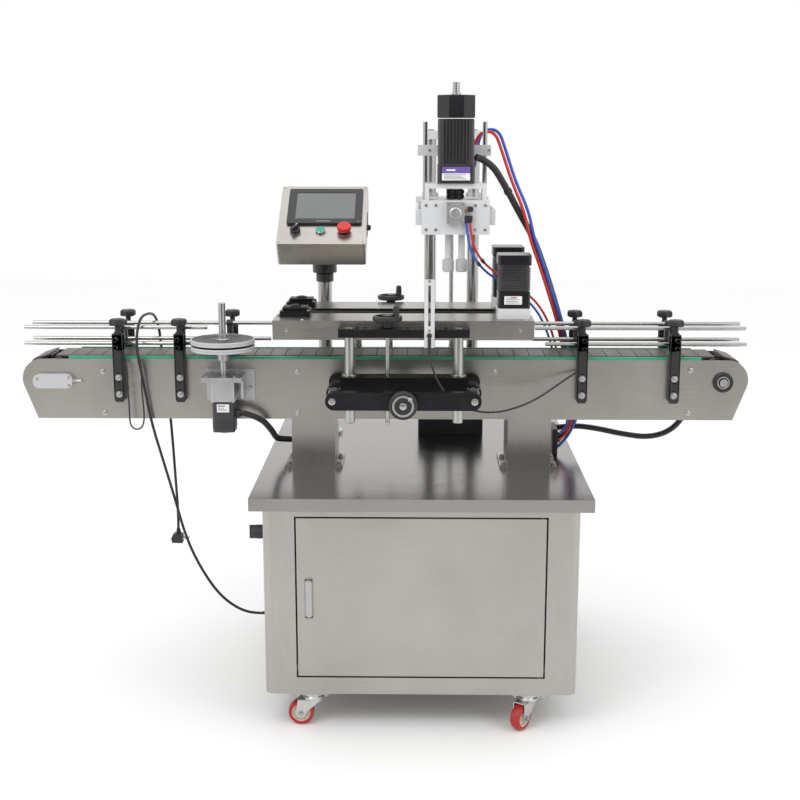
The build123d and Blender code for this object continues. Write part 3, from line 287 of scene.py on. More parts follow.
def tint(colour: Colour, factor: float) -> Colour:
    """Colour made lighter or darker."""
    return tuple(min(1.0, c * factor) for c in colour)


# ---------------------------------------------------------------- finishes
@dataclass(frozen=True)
class Finish:
    """A named material that is made once and shared."""

    name: str
    colour: Colour
    roughness: float = 0.4

    def shade(self, graph: Graph) -> None:
        """Feed the shader.

        Args:
            graph: Node tree to fill.
        """
        raise NotImplementedError

    def material(self) -> bpy.types.Material:
        """The material, made on first use."""
        found = bpy.data.materials.get(self.name)
        if found is None:
            graph = Graph(self.name)
            self.shade(graph)
            found = graph.material
            found.diffuse_color = (*self.colour, 1.0)
        return found


@dataclass(frozen=True)
class BrushedSteel(Finish):
    """Stainless sheet with a directional grain, faint clouds and handling marks."""

    grain: Axis = Axis.X
    cloud: float = 0.12

    def shade(self, graph: Graph) -> None:
        """Feed the shader."""
        stretch = [1.0, 1.0, 1.0]
        stretch[self.grain.value] = 90.0
        lines = graph.noise(1.3, tuple(stretch), 4.0)
        clouds = graph.noise(170.0, (1.0, 1.0, 1.6), 3.0)
        smears = graph.step(graph.noise(45.0, (2.5, 1.0, 1.0), 5.0), 0.52, 0.75)
        tone = clouds * 0.65 + lines * 0.35
        graph.set(Base_Color=graph.blend(graph.step(tone, 0.3, 0.7), tint(self.colour, 1.0 - self.cloud),
                tint(self.colour, 1.0 + self.cloud)), Metallic=1.0, Roughness=lines * 0.16 + smears * 0.05
                + clouds * 0.12 + (self.roughness - 0.14),)
        graph.bump(lines, 0.05, 0.5)


@dataclass(frozen=True)
class PolishedSteel(Finish):
    """Turned or ground bar with fine rings and a few scratches."""

    def shade(self, graph: Graph) -> None:
        """Feed the shader."""
        rings = graph.noise(0.9, (6.0, 6.0, 1.0), 2.0)
        marks = graph.noise(30.0, (1.0, 1.0, 3.0), 4.0)
        graph.set(Base_Color=graph.blend(marks, tint(self.colour, 0.86), tint(self.colour, 1.06)),
                Metallic=1.0, Roughness=rings * 0.08 + marks * 0.14 + (self.roughness - 0.1),)
        graph.bump(rings, 0.02, 0.3)


@dataclass(frozen=True)
class CastMetal(Finish):
    """Die-cast or blasted metal with a fine pebbled skin."""

    grain: float = 1.2

    def shade(self, graph: Graph) -> None:
        """Feed the shader."""
        pebbles = graph.noise(self.grain, detail=2.0)
        stains = graph.noise(40.0, detail=4.0)
        graph.set(Base_Color=graph.blend(stains, tint(self.colour, 0.8), tint(self.colour, 1.1)),
                Metallic=1.0, Roughness=stains * 0.2 + (self.roughness - 0.1),)
        graph.bump(pebbles, 0.08, 0.4)


@dataclass(frozen=True)
class Paint(Finish):
    """Sprayed coat with orange peel and a little dust in random patches."""

    peel: float = 2.5
    coat: float = 0.3

    def shade(self, graph: Graph) -> None:
        """Feed the shader."""
        peel = graph.noise(self.peel, detail=2.0)
        dust = graph.noise(60.0, detail=5.0)
        grey = (0.35, 0.34, 0.32)
        worn = graph.blend(graph.step(dust, 0.5, 0.9) * 0.12, self.colour, grey)
        graph.set(Base_Color=worn, Roughness=dust * 0.16 + (self.roughness - 0.08), Coat_Weight=self.coat,
                Coat_Roughness=0.25,)
        graph.bump(peel, 0.06, 0.35)


@dataclass(frozen=True)
class Plastic(Finish):
    """Moulded plastic with a spark-eroded texture and slight shade changes."""

    grain: float = 0.8
    relief: float = 0.05

    def shade(self, graph: Graph) -> None:
        """Feed the shader."""
        pits = graph.noise(self.grain, detail=2.0)
        flow = graph.noise(35.0, (1.0, 1.0, 2.0), 3.0)
        graph.set(Base_Color=graph.blend(flow, tint(self.colour, 0.85), tint(self.colour, 1.15)),
                Roughness=flow * 0.14 + (self.roughness - 0.07), IOR=1.5,)
        graph.bump(pits, self.relief, 0.4)


@dataclass(frozen=True)
class SlatPlastic(Finish):
    """Chain plastic whose shade changes from slat to slat, with wear along the run."""

    def shade(self, graph: Graph) -> None:
        """Feed the shader."""
        slats = graph.noise(30.0, (1.0, 40.0, 40.0), 0.0)
        wear = graph.noise(2.0, (60.0, 1.0, 1.0), 3.0)
        spots = graph.noise(12.0, detail=5.0)
        tone = slats * 0.5 + wear * 0.3 + spots * 0.2
        graph.set(Base_Color=graph.blend(graph.step(tone, 0.3, 0.7), tint(self.colour, 0.7),
                tint(self.colour, 1.3)), Roughness=wear * 0.25 + (self.roughness - 0.1),)
        graph.bump(wear, 0.05, 0.4)


@dataclass(frozen=True)
class Rubber(Finish):
    """Matt rubber or cable jacket with chalky scuffs."""

    def shade(self, graph: Graph) -> None:
        """Feed the shader."""
        grain = graph.noise(0.6, detail=2.0)
        scuff = graph.step(graph.noise(14.0, detail=6.0), 0.45, 0.8)
        graph.set(Base_Color=graph.blend(scuff * 0.35, self.colour, tint(self.colour, 1.9)),
                Roughness=scuff * 0.2 + (self.roughness - 0.05), Sheen_Weight=0.15,)
        graph.bump(grain, 0.05, 0.5)


@dataclass(frozen=True)
class Screen(Finish):
    """Powered-down display: dark glass with broad lighter and darker patches painted into its colour as a
    reflection.
    """

    def shade(self, graph: Graph) -> None:
        """Feed the shader."""
        # painted reflection: broad noise patches lighten and darken the glass colour
        painted_reflection = graph.noise(120.0, detail=1.0)
        dust = graph.noise(1.5, detail=6.0)
        graph.set(Base_Color=graph.blend(painted_reflection, tint(self.colour, 0.6), tint(self.colour, 1.5)),
                Roughness=graph.step(dust, 0.55, 0.8) * 0.2 + self.roughness, Coat_Weight=1.0,
                Coat_Roughness=0.04,)


STEEL = BrushedSteel("stainless_panel", (0.42, 0.40, 0.37), 0.30)
STEEL_UPRIGHT = BrushedSteel("stainless_upright", (0.42, 0.405, 0.38), 0.30, Axis.Z)
STEEL_TABLE = BrushedSteel("stainless_table", (0.30, 0.29, 0.28), 0.2, Axis.X, 0.08)
STEEL_INSIDE = BrushedSteel("stainless_inside", (0.42, 0.41, 0.39), 0.45, Axis.Z)
POLISHED = PolishedSteel("polished_bar", (0.50, 0.495, 0.485), 0.22)
SCREW_STEEL = PolishedSteel("screw_steel", (0.48, 0.475, 0.46), 0.3)
DARK_STEEL = PolishedSteel("dark_screw", (0.05, 0.05, 0.055), 0.36)
BRASS = PolishedSteel("brass_fitting", (0.72, 0.52, 0.24), 0.3)
ALUMINIUM = CastMetal("cast_aluminium", (0.52, 0.52, 0.52), 0.42)
ANODISED = CastMetal("bead_blasted_aluminium", (0.56, 0.565, 0.57), 0.38, 0.6)
ZINC = CastMetal("zinc_plate", (0.62, 0.62, 0.60), 0.34, 2.0)
WHITE = Paint("white_powder", (0.66, 0.67, 0.68), 0.36)
BLACK = Paint("black_powder", (0.018, 0.018, 0.02), 0.42)
BLACK_ANODISED = CastMetal("black_anodised", (0.035, 0.035, 0.038), 0.4, 0.8)
BLACK_PLASTIC = Plastic("black_plastic_part", (0.02, 0.02, 0.022), 0.42)
BLACK_GLOSS = Plastic("black_gloss", (0.012, 0.012, 0.014), 0.22, 3.0, 0.01)
MOTOR_BLACK = Paint("motor_black", (0.03, 0.031, 0.034), 0.3, 3.0, 0.2)
GREY_DISC = Plastic("grey_disc_face", (0.055, 0.057, 0.058), 0.5)
PALE_GREY = Plastic("pale_grey_edge", (0.52, 0.53, 0.53), 0.45)
TAKE_UP_GREY = Paint("take_up_grey", (0.50, 0.505, 0.505), 0.45)
CHAIN = SlatPlastic("chain_slat", (0.125, 0.11, 0.095), 0.42)
CHAIN_PIN = Plastic("chain_knuckle", (0.10, 0.09, 0.08), 0.45)
GREEN_STRIP = Plastic("green_wear_strip", (0.03, 0.32, 0.19), 0.38)
BELT = Rubber("grip_belt", (0.03, 0.03, 0.03), 0.7)
TYRE = Plastic("red_tyre", (0.42, 0.018, 0.02), 0.36, 1.5)
HUB = Plastic("cream_hub", (0.62, 0.55, 0.44), 0.42)
JACKET = Rubber("cable_jacket", (0.012, 0.012, 0.013), 0.5)
RED_HOSE = Plastic("red_hose", (0.62, 0.03, 0.025), 0.24, 5.0, 0.01)
BLUE_HOSE = Plastic("blue_hose", (0.035, 0.10, 0.50), 0.24, 5.0, 0.01)
TIE_WHITE = Plastic("white_tie", (0.8, 0.8, 0.79), 0.35)
RED_CAP = Plastic("red_cap", (0.60, 0.015, 0.012), 0.3, 2.0, 0.02)
GREEN_CAP = Plastic("green_cap", (0.01, 0.34, 0.24), 0.28, 2.0, 0.02)
LABEL_WHITE = Plastic("label_white", (0.80, 0.80, 0.80), 0.4, 6.0, 0.01)
LABEL_VIOLET = Plastic("label_violet", (0.16, 0.09, 0.36), 0.4, 6.0, 0.01)
LABEL_GREY = Plastic("label_print", (0.22, 0.22, 0.23), 0.5, 6.0, 0.01)
GLASS = Screen("display_glass", (0.045, 0.05, 0.052), 0.14)
CIRCUIT_GREEN = Plastic("terminal_green", (0.03, 0.25, 0.10), 0.45)
DRIVE_GREY = Plastic("drive_grey", (0.3, 0.31, 0.32), 0.45)


# ---------------------------------------------------------------- meshes
class Shape:
    """Mesh of one piece, gathered from bevelled parts. Sizes are millimetres."""

    SHARP = math.radians(32)

    def __init__(self, finish: Finish, place: Optional[Matrix] = None) -> None:
        """Start an empty piece.

        Args:
            finish: Finish of the first parts.
            place: Where the piece's own frame lies in the machine, or None for the machine's frame.
        """
        self.mesh = bmesh.new()
        self.finishes = [finish]
        self.index = 0
        self.place = place or Matrix.Identity(4)

    def use(self, finish: Finish) -> "Shape":
        """Give the parts that follow this finish."""
        if finish not in self.finishes:
            self.finishes.append(finish)
        self.index = self.finishes.index(finish)
        return self

    def _take(self, part: bmesh.types.BMesh, bevel: float) -> "Shape":
        """Bevel a part's sharp edges and add it to the piece."""
        bmesh.ops.recalc_face_normals(part, faces=part.faces[:])
        if bevel > 0:
            sharp = [e for e in part.edges if e.is_manifold and e.calc_face_angle(0.0) > self.SHARP]
            bmesh.ops.bevel(part, geom=sharp, offset=bevel, segments=2, profile=0.6, affect="EDGES",
                    clamp_overlap=True)
        for face in part.faces:
            face.material_index = self.index
        gathered = bpy.data.meshes.new("part")
        part.to_mesh(gathered)
        part.free()
        self.mesh.from_mesh(gathered)
        bpy.data.meshes.remove(gathered)
        return self

    def join(self, other: "Shape", turn: Matrix) -> "Shape":
        """Add another piece's parts, turned into this one's frame.

        Args:
            other: Piece that is used up.
            turn: Where its frame lies in this one's.

        Returns:
            This piece.
        """
        spots = [self.use(finish).index for finish in other.finishes]
        other.mesh.transform(turn)
        for face in other.mesh.faces:
            face.material_index = spots[face.material_index]
        gathered = bpy.data.meshes.new("part")
        other.mesh.to_mesh(gathered)
        other.mesh.free()
        self.mesh.from_mesh(gathered)
        bpy.data.meshes.remove(gathered)
        return self

    def box(self, x0: float, x1: float, y0: float, y1: float, z0: float, z1: float,
            bevel: float = 1.0) -> "Shape":
        """Block between two corners, with rounded edges."""
        part = bmesh.new()
        middle = Matrix.Translation(((x0 + x1) / 2, (y0 + y1) / 2, (z0 + z1) / 2))
        bmesh.ops.create_cube(part, size=1.0, matrix=middle @ Matrix.Diagonal((x1 - x0, y1 - y0, z1 - z0, 1)))
        return self._take(part, min(bevel, 0.45 * min(x1 - x0, y1 - y0, z1 - z0)))

    def turned(self, axis: Axis, base: Point, profile: Sequence[Pair], bevel: float = 0.0, segments: int = 40,
            wave: Optional[Callable[[float], float]] = None) -> "Shape":
        """Body of revolution.

        Args:
            axis: Direction of its axis.
            base: Point that the profile's heights start from.
            profile: (radius, height) pairs from one end to the other. A closed ring repeats its first pair.
            bevel: Rounding of its sharp edges.
            segments: Sides round the axis.
            wave: Factor on the radius at an angle, for lobes and knurls.

        Returns:
            This piece.
        """
        part = bmesh.new()
        turn = Matrix.Translation(base) @ axis.turn()
        closed = profile[0] == profile[-1]
        rings = []
        for radius, height in (profile[:-1] if closed else profile):
            ring = []
            for step in range(segments):
                angle = 2 * math.pi * step / segments
                r = radius * (wave(angle) if wave else 1.0)
                ring.append(part.verts.new(turn @ Vector((r * math.cos(angle), r * math.sin(angle), height))))
            rings.append(ring)
        pairs = list(zip(rings, rings[1:])) + ([(rings[-1], rings[0])] if closed else [])
        for low, high in pairs:
            for step in range(segments):
                after = (step + 1) % segments
                part.faces.new((low[step], low[after], high[after], high[step]))
        if not closed:
            part.faces.new(rings[0][::-1])
            part.faces.new(rings[-1])
        return self._take(part, bevel)

    def rod(self, axis: Axis, base: Point, radius: float, length: float, bevel: float = 0.6,
            segments: int = 32) -> "Shape":
        """Round bar."""
        return self.turned(axis, base, [(radius, 0), (radius, length)],
                min(bevel, radius * 0.4, length * 0.4), segments)

    def ring(self, axis: Axis, base: Point, outer: float, inner: float, height: float, bevel: float = 0.5,
            segments: int = 40) -> "Shape":
        """Flat ring or sleeve."""
        return self.turned(axis, base, [(outer, 0), (outer, height), (inner, height), (inner, 0), (outer, 0)],
                bevel, segments)

    def prism(self, axis: Axis, start: float, depth: float, outline: Sequence[Pair],
            holes: Sequence[Sequence[Pair]] = (), bevel: float = 0.8) -> "Shape":
        """Flat outline pulled along an axis, with holes.

        Args:
            axis: Direction of the pull. X takes (y, z) pairs, Y takes (x, z), Z takes (x, y).
            start: Where the outline lies on that axis.
            depth: Length of the pull.
            outline: Outer corners in order.
            holes: Outlines left open.
            bevel: Rounding of its sharp edges.

        Returns:
            This piece.
        """
        part = bmesh.new()
        for loop in (outline, *holes):
            spots = []
            for u, v in loop:
                spots.append(part.verts.new({Axis.X: (start, u, v), Axis.Y: (u, start, v),
                        Axis.Z: (u, v, start)}[axis]))
            for here, after in zip(spots, spots[1:] + spots[:1]):
                part.edges.new((here, after))
        if holes:
            bmesh.ops.triangle_fill(part, use_beauty=True, use_dissolve=False, edges=part.edges[:])
        else:
            part.faces.new(part.verts[:])
        pulled = bmesh.ops.extrude_face_region(part, geom=part.faces[:])
        push = [0.0, 0.0, 0.0]
        push[axis.value] = depth
        bmesh.ops.translate(part, vec=push, verts=[v for v in pulled["geom"]
                if isinstance(v, bmesh.types.BMVert)])
        return self._take(part, bevel)

    def hex_bolt(self, axis: Axis, base: Point, across: float, height: float) -> "Shape":
        """Hexagon head on a washer, standing from its base along the axis."""
        side = math.copysign(1.0, height)
        self.turned(axis, base, [(across * 0.62, 0), (across * 0.62, side * 1.2)], 0.2, 20)
        return self.turned(axis, base, [(across * 0.5, side * 1.2), (across * 0.5, height)], 0.4, 6)

    def cap_screw(self, axis: Axis, base: Point, radius: float, height: float) -> "Shape":
        """Socket-head screw standing from its base, with its hollow."""
        return self.turned(axis, base, [(radius, 0), (radius, height), (radius * 0.55, height),
                (radius * 0.5, height * 0.4)], 0.15, 18)

    def corner_screws(self, middle: Pair, reach: Pair, height: float, radius: float, proud: float) -> "Shape":
        """Socket screws at the four corners of a level face.

        Args:
            middle: Middle of the face.
            reach: How far the corners lie from it.
            height: Level of the face.
            radius: Radius of a head.
            proud: How far a head stands out, less than 0 when it points down.

        Returns:
            This piece.
        """
        self.use(SCREW_STEEL)
        for sx in (-1, 1):
            for sy in (-1, 1):
                self.cap_screw(Axis.Z, (middle[0] + sx * reach[0], middle[1] + sy * reach[1], height), radius,
                        proud)
        return self

    def cable(self, line: Sequence[Vector], radius: Callable[[float], float], sides: int = 14) -> "Shape":
        """Round tube along a line.

        Args:
            line: Points in the machine's frame, in millimetres.
            radius: Radius at a distance along the line.
            sides: Sides round the tube.

        Returns:
            This piece.
        """
        part = bmesh.new()
        rings, run = [], 0.0
        aim = (line[1] - line[0]).normalized()
        up = aim.orthogonal().normalized()
        for index, spot in enumerate(line):
            before, after = line[max(index - 1, 0)], line[min(index + 1, len(line) - 1)]
            turned = (after - before).normalized()
            up = (aim.rotation_difference(turned) @ up).normalized()
            aim = turned
            side = aim.cross(up)
            run += (spot - before).length
            r = radius(run)
            rings.append([part.verts.new(spot + r * (math.cos(a) * up + math.sin(a) * side))
                    for a in (2 * math.pi * k / sides for k in range(sides))])
        for low, high in zip(rings, rings[1:]):
            for k in range(sides):
                after = (k + 1) % sides
                part.faces.new((low[k], low[after], high[after], high[k]))
        part.faces.new(rings[0][::-1])
        part.faces.new(rings[-1])
        return self._take(part, 0.0)

    def raw(self, name: str) -> bpy.types.Object:
        """Make the object, riding on nothing yet.

        Args:
            name: Name of the piece.

        Returns:
            The new object.
        """
        self.mesh.transform(Matrix.Diagonal((MM, MM, MM, 1)) @ self.place)
        data = bpy.data.meshes.new(name)
        self.mesh.to_mesh(data)
        self.mesh.free()
        for finish in self.finishes:
            data.materials.append(finish.material())
        for polygon in data.polygons:
            polygon.use_smooth = True
        data.set_sharp_from_angle(angle=math.radians(38))
        made = bpy.data.objects.new(name, data)
        bpy.context.scene.collection.objects.link(made)
        weighted = made.modifiers.new("weighted", "WEIGHTED_NORMAL")
        weighted.keep_sharp = True
        LOG.info("%s: %d faces", name, len(data.polygons))
        return made

    def build(self, name: str, body: str = "root", replaces: Sequence[str] = (),
            slot: Optional[str] = None) -> bpy.types.Object:
        """Make the object on its body.

        Args:
            name: Name of the piece.
            body: CAD body that carries it.
            replaces: CAD nodes that it stands for.
            slot: Not used.

        Returns:
            The new object.
        """
        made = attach(self.raw(name), body)
        if replaces:
            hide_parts(*replaces)
        return made


def circle(x: float, y: float, radius: float, count: int = 24, phase: float = 0.0) -> list[Pair]:
    """Corners of a circle."""
    return [(x + radius * math.cos(phase + 2 * math.pi * k / count), y
            + radius * math.sin(phase + 2 * math.pi * k / count)) for k in range(count)]


def slot_outline(x0: float, x1: float, y0: float, y1: float, count: int = 8) -> list[Pair]:
    """Corners of a slot with round ends along its longer side."""
    wide = x1 - x0 > y1 - y0
    r = (y1 - y0) / 2 if wide else (x1 - x0) / 2
    ends = [(x1 - r, (y0 + y1) / 2), (x0 + r, (y0 + y1) / 2)] if wide else [((x0 + x1) / 2, y1 - r),
            ((x0 + x1) / 2, y0 + r)]
    corners = []
    for turn, (cx, cy) in enumerate(ends):
        first = (-math.pi / 2 if wide else 0.0) + turn * math.pi
        corners += [(cx + r * math.cos(first + math.pi * k / count), cy
                + r * math.sin(first + math.pi * k / count)) for k in range(count + 1)]
    return corners


def rounded(x0: float, x1: float, y0: float, y1: float, radius: float, count: int = 5) -> list[Pair]:
    """Corners of a rectangle with round corners."""
    corners = []
    for cx, cy, first in ((x1 - radius, y0 + radius, -90), (x1 - radius, y1 - radius, 0),
            (x0 + radius, y1 - radius, 90), (x0 + radius, y0 + radius, 180)):
        for k in range(count + 1):
            angle = math.radians(first + 90 * k / count)
            corners.append((cx + radius * math.cos(angle), cy + radius * math.sin(angle)))
    return corners


def lobes(count: int, depth: float) -> Callable[[float], float]:
    """Radius factor of a star knob or a knurl."""
    return lambda angle: 1.0 - depth * (0.5 + 0.5 * math.cos(count * angle))


def dress(node: str, finish: Finish, regions: Sequence[tuple[Extent, Finish]] = ()) -> None:
    """Give a CAD node its finishes.

    Args:
        node: Name of the CAD node.
        finish: Finish of the whole node.
        regions: Boxes whose polygons take another finish. A later one wins.
    """
    data = bpy.data.objects[node].data
    data.materials.clear()
    data.materials.append(finish.material())
    for _, other in regions:
        data.materials.append(other.material())
    for polygon in data.polygons:
        polygon.material_index = 0
        for index, (extent, _) in enumerate(regions, 1):
            if extent.holds(polygon.center / MM):
                polygon.material_index = index
    LOG.info("%s: dressed in %s", node, finish.name)


# ---------------------------------------------------------------- studio
@dataclass
class Studio:
    """Camera, soft light and a pale floor."""

    eye: Point = (86.3, -3229.1, 1416.7)
    tilt: float = 78.0
    swing: float = 0.86
    lens: float = 57.2

    def camera(self) -> None:
        """Set up the camera in front of the machine."""
        data = bpy.data.cameras.new("camera")
        data.lens = self.lens
        data.sensor_width = 36.0
        data.clip_start, data.clip_end = 0.05, 100.0
        camera = bpy.data.objects.new("camera", data)
        camera.location = Vector(self.eye) * MM
        camera.rotation_euler = (math.radians(self.tilt), 0.0, math.radians(self.swing))
        bpy.context.scene.collection.objects.link(camera)
        bpy.context.scene.camera = camera

    def lamp(self, name: str, spot: Point, aim: Point, size: Pair, watts: float) -> None:
        """Add a soft panel lamp.

        Args:
            name: Name of the lamp.
            spot: Its place.
            aim: The point that it faces.
            size: Width and height.
            watts: Its power.
        """
        data = bpy.data.lights.new(name, "AREA")
        data.shape = "RECTANGLE"
        data.size, data.size_y = size[0] * MM, size[1] * MM
        data.energy = watts
        lamp = bpy.data.objects.new(name, data)
        lamp.location = Vector(spot) * MM
        lamp.rotation_euler = (Vector(aim) - Vector(spot)).to_track_quat("-Z", "Y").to_euler()
        bpy.context.scene.collection.objects.link(lamp)

    def card(self, name: str, corners: Sequence[Point], shade: float) -> None:
        """Add a flat board that steel can mirror.

        Args:
            name: Name of the board.
            corners: Its corners.
            shade: Its grey level.
        """
        data = bpy.data.meshes.new(name)
        data.from_pydata([Vector(c) * MM for c in corners], [], [tuple(range(len(corners)))])
        graph = Graph(name)
        mottle = graph.noise(900.0, detail=2.0)
        graph.set(Base_Color=graph.blend(mottle, (shade * 0.98,) * 3, (min(1.0, shade * 1.01),) * 3),
                Roughness=0.9)
        data.materials.append(graph.material)
        board = bpy.data.objects.new(name, data)
        bpy.context.scene.collection.objects.link(board)

    def build(self) -> None:
        """Set up everything round the machine."""
        self.camera()
        world = bpy.data.worlds.new("studio")
        world.use_nodes = True
        world.node_tree.nodes["Background"].inputs["Color"].default_value = (1.0, 1.0, 1.0, 1.0)
        world.node_tree.nodes["Background"].inputs["Strength"].default_value = 1.0
        bpy.context.scene.world = world
        bpy.context.scene.view_settings.view_transform = "Standard"
        reach = 9000.0
        self.card("floor", [(-reach, -reach, 0), (reach, -reach, 0), (reach, reach, 0), (-reach, reach, 0)],
                0.98)
        self.card("front_board", [(-2600, -5200, 0), (2600, -5200, 0), (2600, -5200, 2000),
                (-2600, -5200, 2000)], 0.06)
        self.lamp("key_lamp", (-1800, -2600, 3300), (0, 0, 800), (1800, 1400), 34.0)
        self.lamp("fill_lamp", (2300, -2300, 2400), (100, 0, 800), (1400, 1400), 14.0)
        self.lamp("top_lamp", (0, 300, 3600), (0, 0, 600), (2600, 1800), 12.0)
        LOG.info("studio: camera, lamps and floor")


# ---------------------------------------------------------------- cables
class Jacket(Enum):
    """Outer form of a cable or tube."""

    SMOOTH = "smooth"
    RIBBED = "ribbed"


@dataclass(frozen=True)
class Run:
    """A cable along its route's smooth line."""

    name: str
    route: Sequence[Point]
    diameter: float
    finish: Finish
    jacket: Jacket = Jacket.SMOOTH
    pitch: float = 4.5
    groove: float = 1.1

    def line(self) -> list[Vector]:
        """Points along the route's NURBS line, in millimetres."""
        curve = bpy.data.curves.new(self.name + "_line", "CURVE")
        curve.dimensions = "3D"
        curve.resolution_u = 40 if self.jacket is Jacket.RIBBED else 14
        spline = curve.splines.new("NURBS")
        spline.points.add(len(self.route) - 1)
        for spot, place in zip(spline.points, self.route):
            spot.co = (place[0] * MM, place[1] * MM, place[2] * MM, 1.0)
        spline.order_u = 3
        spline.use_endpoint_u = True
        helper = bpy.data.objects.new(self.name + "_line", curve)
        bpy.context.scene.collection.objects.link(helper)
        bpy.context.view_layer.update()
        mesh = bpy.data.meshes.new_from_object(helper)
        points = [v.co / MM for v in mesh.vertices]
        bpy.data.objects.remove(helper)
        bpy.data.meshes.remove(mesh)
        bpy.data.curves.remove(curve)
        return points

    def radius(self, run: float) -> float:
        """Radius at a distance along the cable."""
        full = self.diameter / 2
        if self.jacket is Jacket.SMOOTH:
            return full
        return full - self.groove * (0.5 + 0.5 * math.cos(2 * math.pi * run / self.pitch))

    def piece(self, points: Sequence[Vector], suffix: str = "") -> bpy.types.Object:
        """Tube along some of the line.

        Args:
            points: The part of the line that it follows.
            suffix: End of its name.

        Returns:
            The tube, riding on nothing yet.
        """
        return Shape(self.finish).cable(points, self.radius).raw(self.name + suffix)


# ---------------------------------------------------------------- cabinet
@dataclass
class Cabinet:
    """Wheeled steel cabinet with its door, switch and equipment plate."""

    screw: float = 4.0
    handle_width: float = 15.0

    def shell(self) -> None:
        """Dress the frame, sheets, table and door."""
        frame = Extent.of("cabinet_frame")
        sides = [(Extent(frame.x0 + 77, frame.x1 - 77, -1e6, 1e6, 0, 1e6), STEEL)]
        dress("cabinet_frame", STEEL_UPRIGHT, sides)
        dress("cabinet_panels", STEEL)
        dress("table_top", STEEL_TABLE)
        dress("door", STEEL, [(Extent(-1e6, 1e6, -392.0, -370.0, 0, 1e6), STEEL_INSIDE)])
        dress("electrical_panel", ZINC)

    def handle(self) -> None:
        """Flush pull handle: surround, lever, key barrel and latch blade."""
        box = Extent.of("door_handle")
        x, half = box.middle.x, self.handle_width / 2
        lever = Shape(ALUMINIUM)
        lever.prism(Axis.Y, box.y0, 4.4, rounded(x - half, x + half, box.z0, box.z1, 6.0), bevel=1.2)
        lever.use(SCREW_STEEL).turned(Axis.Y, (x, box.y0 - 0.1, box.z1 - 9),
                [(5.2, 0), (5.2, 2), (2.0, 2), (1.6, 0.8)], 0.3, 24)
        lever.rod(Axis.Y, (x, box.y0 + 4, box.z1 - 7), 5.0, 12)
        lever.use(ZINC).prism(Axis.Y, box.y1 - 4.5, 3.2, [(x - 8, box.z1 + 1), (x + 8, box.z1 + 1),
                (x + 7, box.z1 - 34), (x - 7, box.z1 - 34)], bevel=0.6)
        lever.build("handle_lever", "door_handle", ["door_handle"], "stainless")
        surround = Shape(STEEL_INSIDE)
        y = Extent.of("door").y0
        surround.prism(Axis.Y, y, 1.2, rounded(x - 11, x + 11, box.z0 - 5, box.z1 + 5, 8.0),
                [rounded(x - half - 0.8, x + half + 0.8, box.z0 - 1, box.z1 + 1, 6.5)], 0.3)
        surround.build("handle_surround", "door")

    def gasket(self) -> None:
        """Rubber seal inside the door."""
        door = Extent.of("door")
        seal = Shape(JACKET)
        y = door.y1 - 2.5
        inset, wide = 5.0, 7.0
        seal.prism(Axis.Y, y, 2.2, [(door.x0 + inset, door.z0 + inset), (door.x1 - 20, door.z0 + inset),
                (door.x1 - 20, door.z1 - inset), (door.x0 + inset, door.z1 - inset)],
                [[(door.x0 + inset + wide, door.z0 + inset + wide), (door.x1 - 20 - wide,
                door.z0 + inset + wide), (door.x1 - 20 - wide, door.z1 - inset - wide),
                (door.x0 + inset + wide, door.z1 - inset - wide)]], 0.5)
        seal.build("door_seal", "door")

    def switch(self) -> None:
        """Isolator on the left side: ribbed knob with a bar, on a grey plate with a collar."""
        box = Extent.of("main_switch_knob")
        y, z = box.middle.y, box.middle.z
        wall = Extent.of("cabinet_frame").x0
        knob = Shape(BLACK_PLASTIC)
        knob.turned(Axis.X, (box.x0 + 7, y, z), [(12, 0), (15.5, 2), (17.3, 12), (17.5, 30)], 0.8, 60,
                lobes(20, 0.05))
        knob.box(box.x0, box.x0 + 26, y - 3.2, y + 3.2, z - 16.8, z + 16.8, 1.6)
        knob.use(LABEL_WHITE).box(box.x0 - 0.2, box.x0 + 0.6, y - 0.8, y + 0.8, z + 6, z + 15, 0.1)
        knob.use(SCREW_STEEL).rod(Axis.X, (box.x0 + 36, y, z), 5, box.x1 - box.x0 - 36)
        knob.build("isolator_knob", "main_switch", ["main_switch_knob"], "black_plastic")
        plate = Shape(TAKE_UP_GREY)
        plate.turned(Axis.X, (wall - 2.4, y, z), [(27, 0), (27, 2.4)], 0.6, 48)
        plate.use(BLACK_PLASTIC).ring(Axis.X, (wall - 4.6, y, z), 20, 7, 3.2)
        plate.build("isolator_plate")

    def equipment(self) -> None:
        """Faces of the devices on the equipment plate: vents, terminals, duct combs."""
        box = Extent.of("electrical_panel")
        centre = box.middle.x
        faces = Shape(DRIVE_GREY)
        front = box.y1 - 23.0
        for x0, x1, z0, z1, depth, finish in ((-220, -90, 370, 460, 80, BLACK_PLASTIC),
                (-70, 20, 370, 460, 95, DRIVE_GREY), (40, 200, 370, 460, 60, DRIVE_GREY),
                (-220, 30, 280, 310, 45, PALE_GREY), (60, 200, 270, 330, 70, BLACK_PLASTIC),
                (-220, 200, 200, 235, 50, CIRCUIT_GREEN)):
            y = front - depth
            faces.use(finish)
            count = max(4, int((x1 - x0) / 16))
            for index in range(count):
                left = centre + x0 + 6 + index * (x1 - x0 - 12) / count
                faces.box(left, left + 0.55 * (x1 - x0 - 12) / count, y - 1.8, y + 0.6, z0 + 6, z1 - 6, 0.6)
            faces.use(SCREW_STEEL)
            for sx in (x0 + 4, x1 - 4):
                faces.cap_screw(Axis.Y, (centre + sx, y, z1 - 4), 2.0, -1.5)
        faces.build("device_faces")

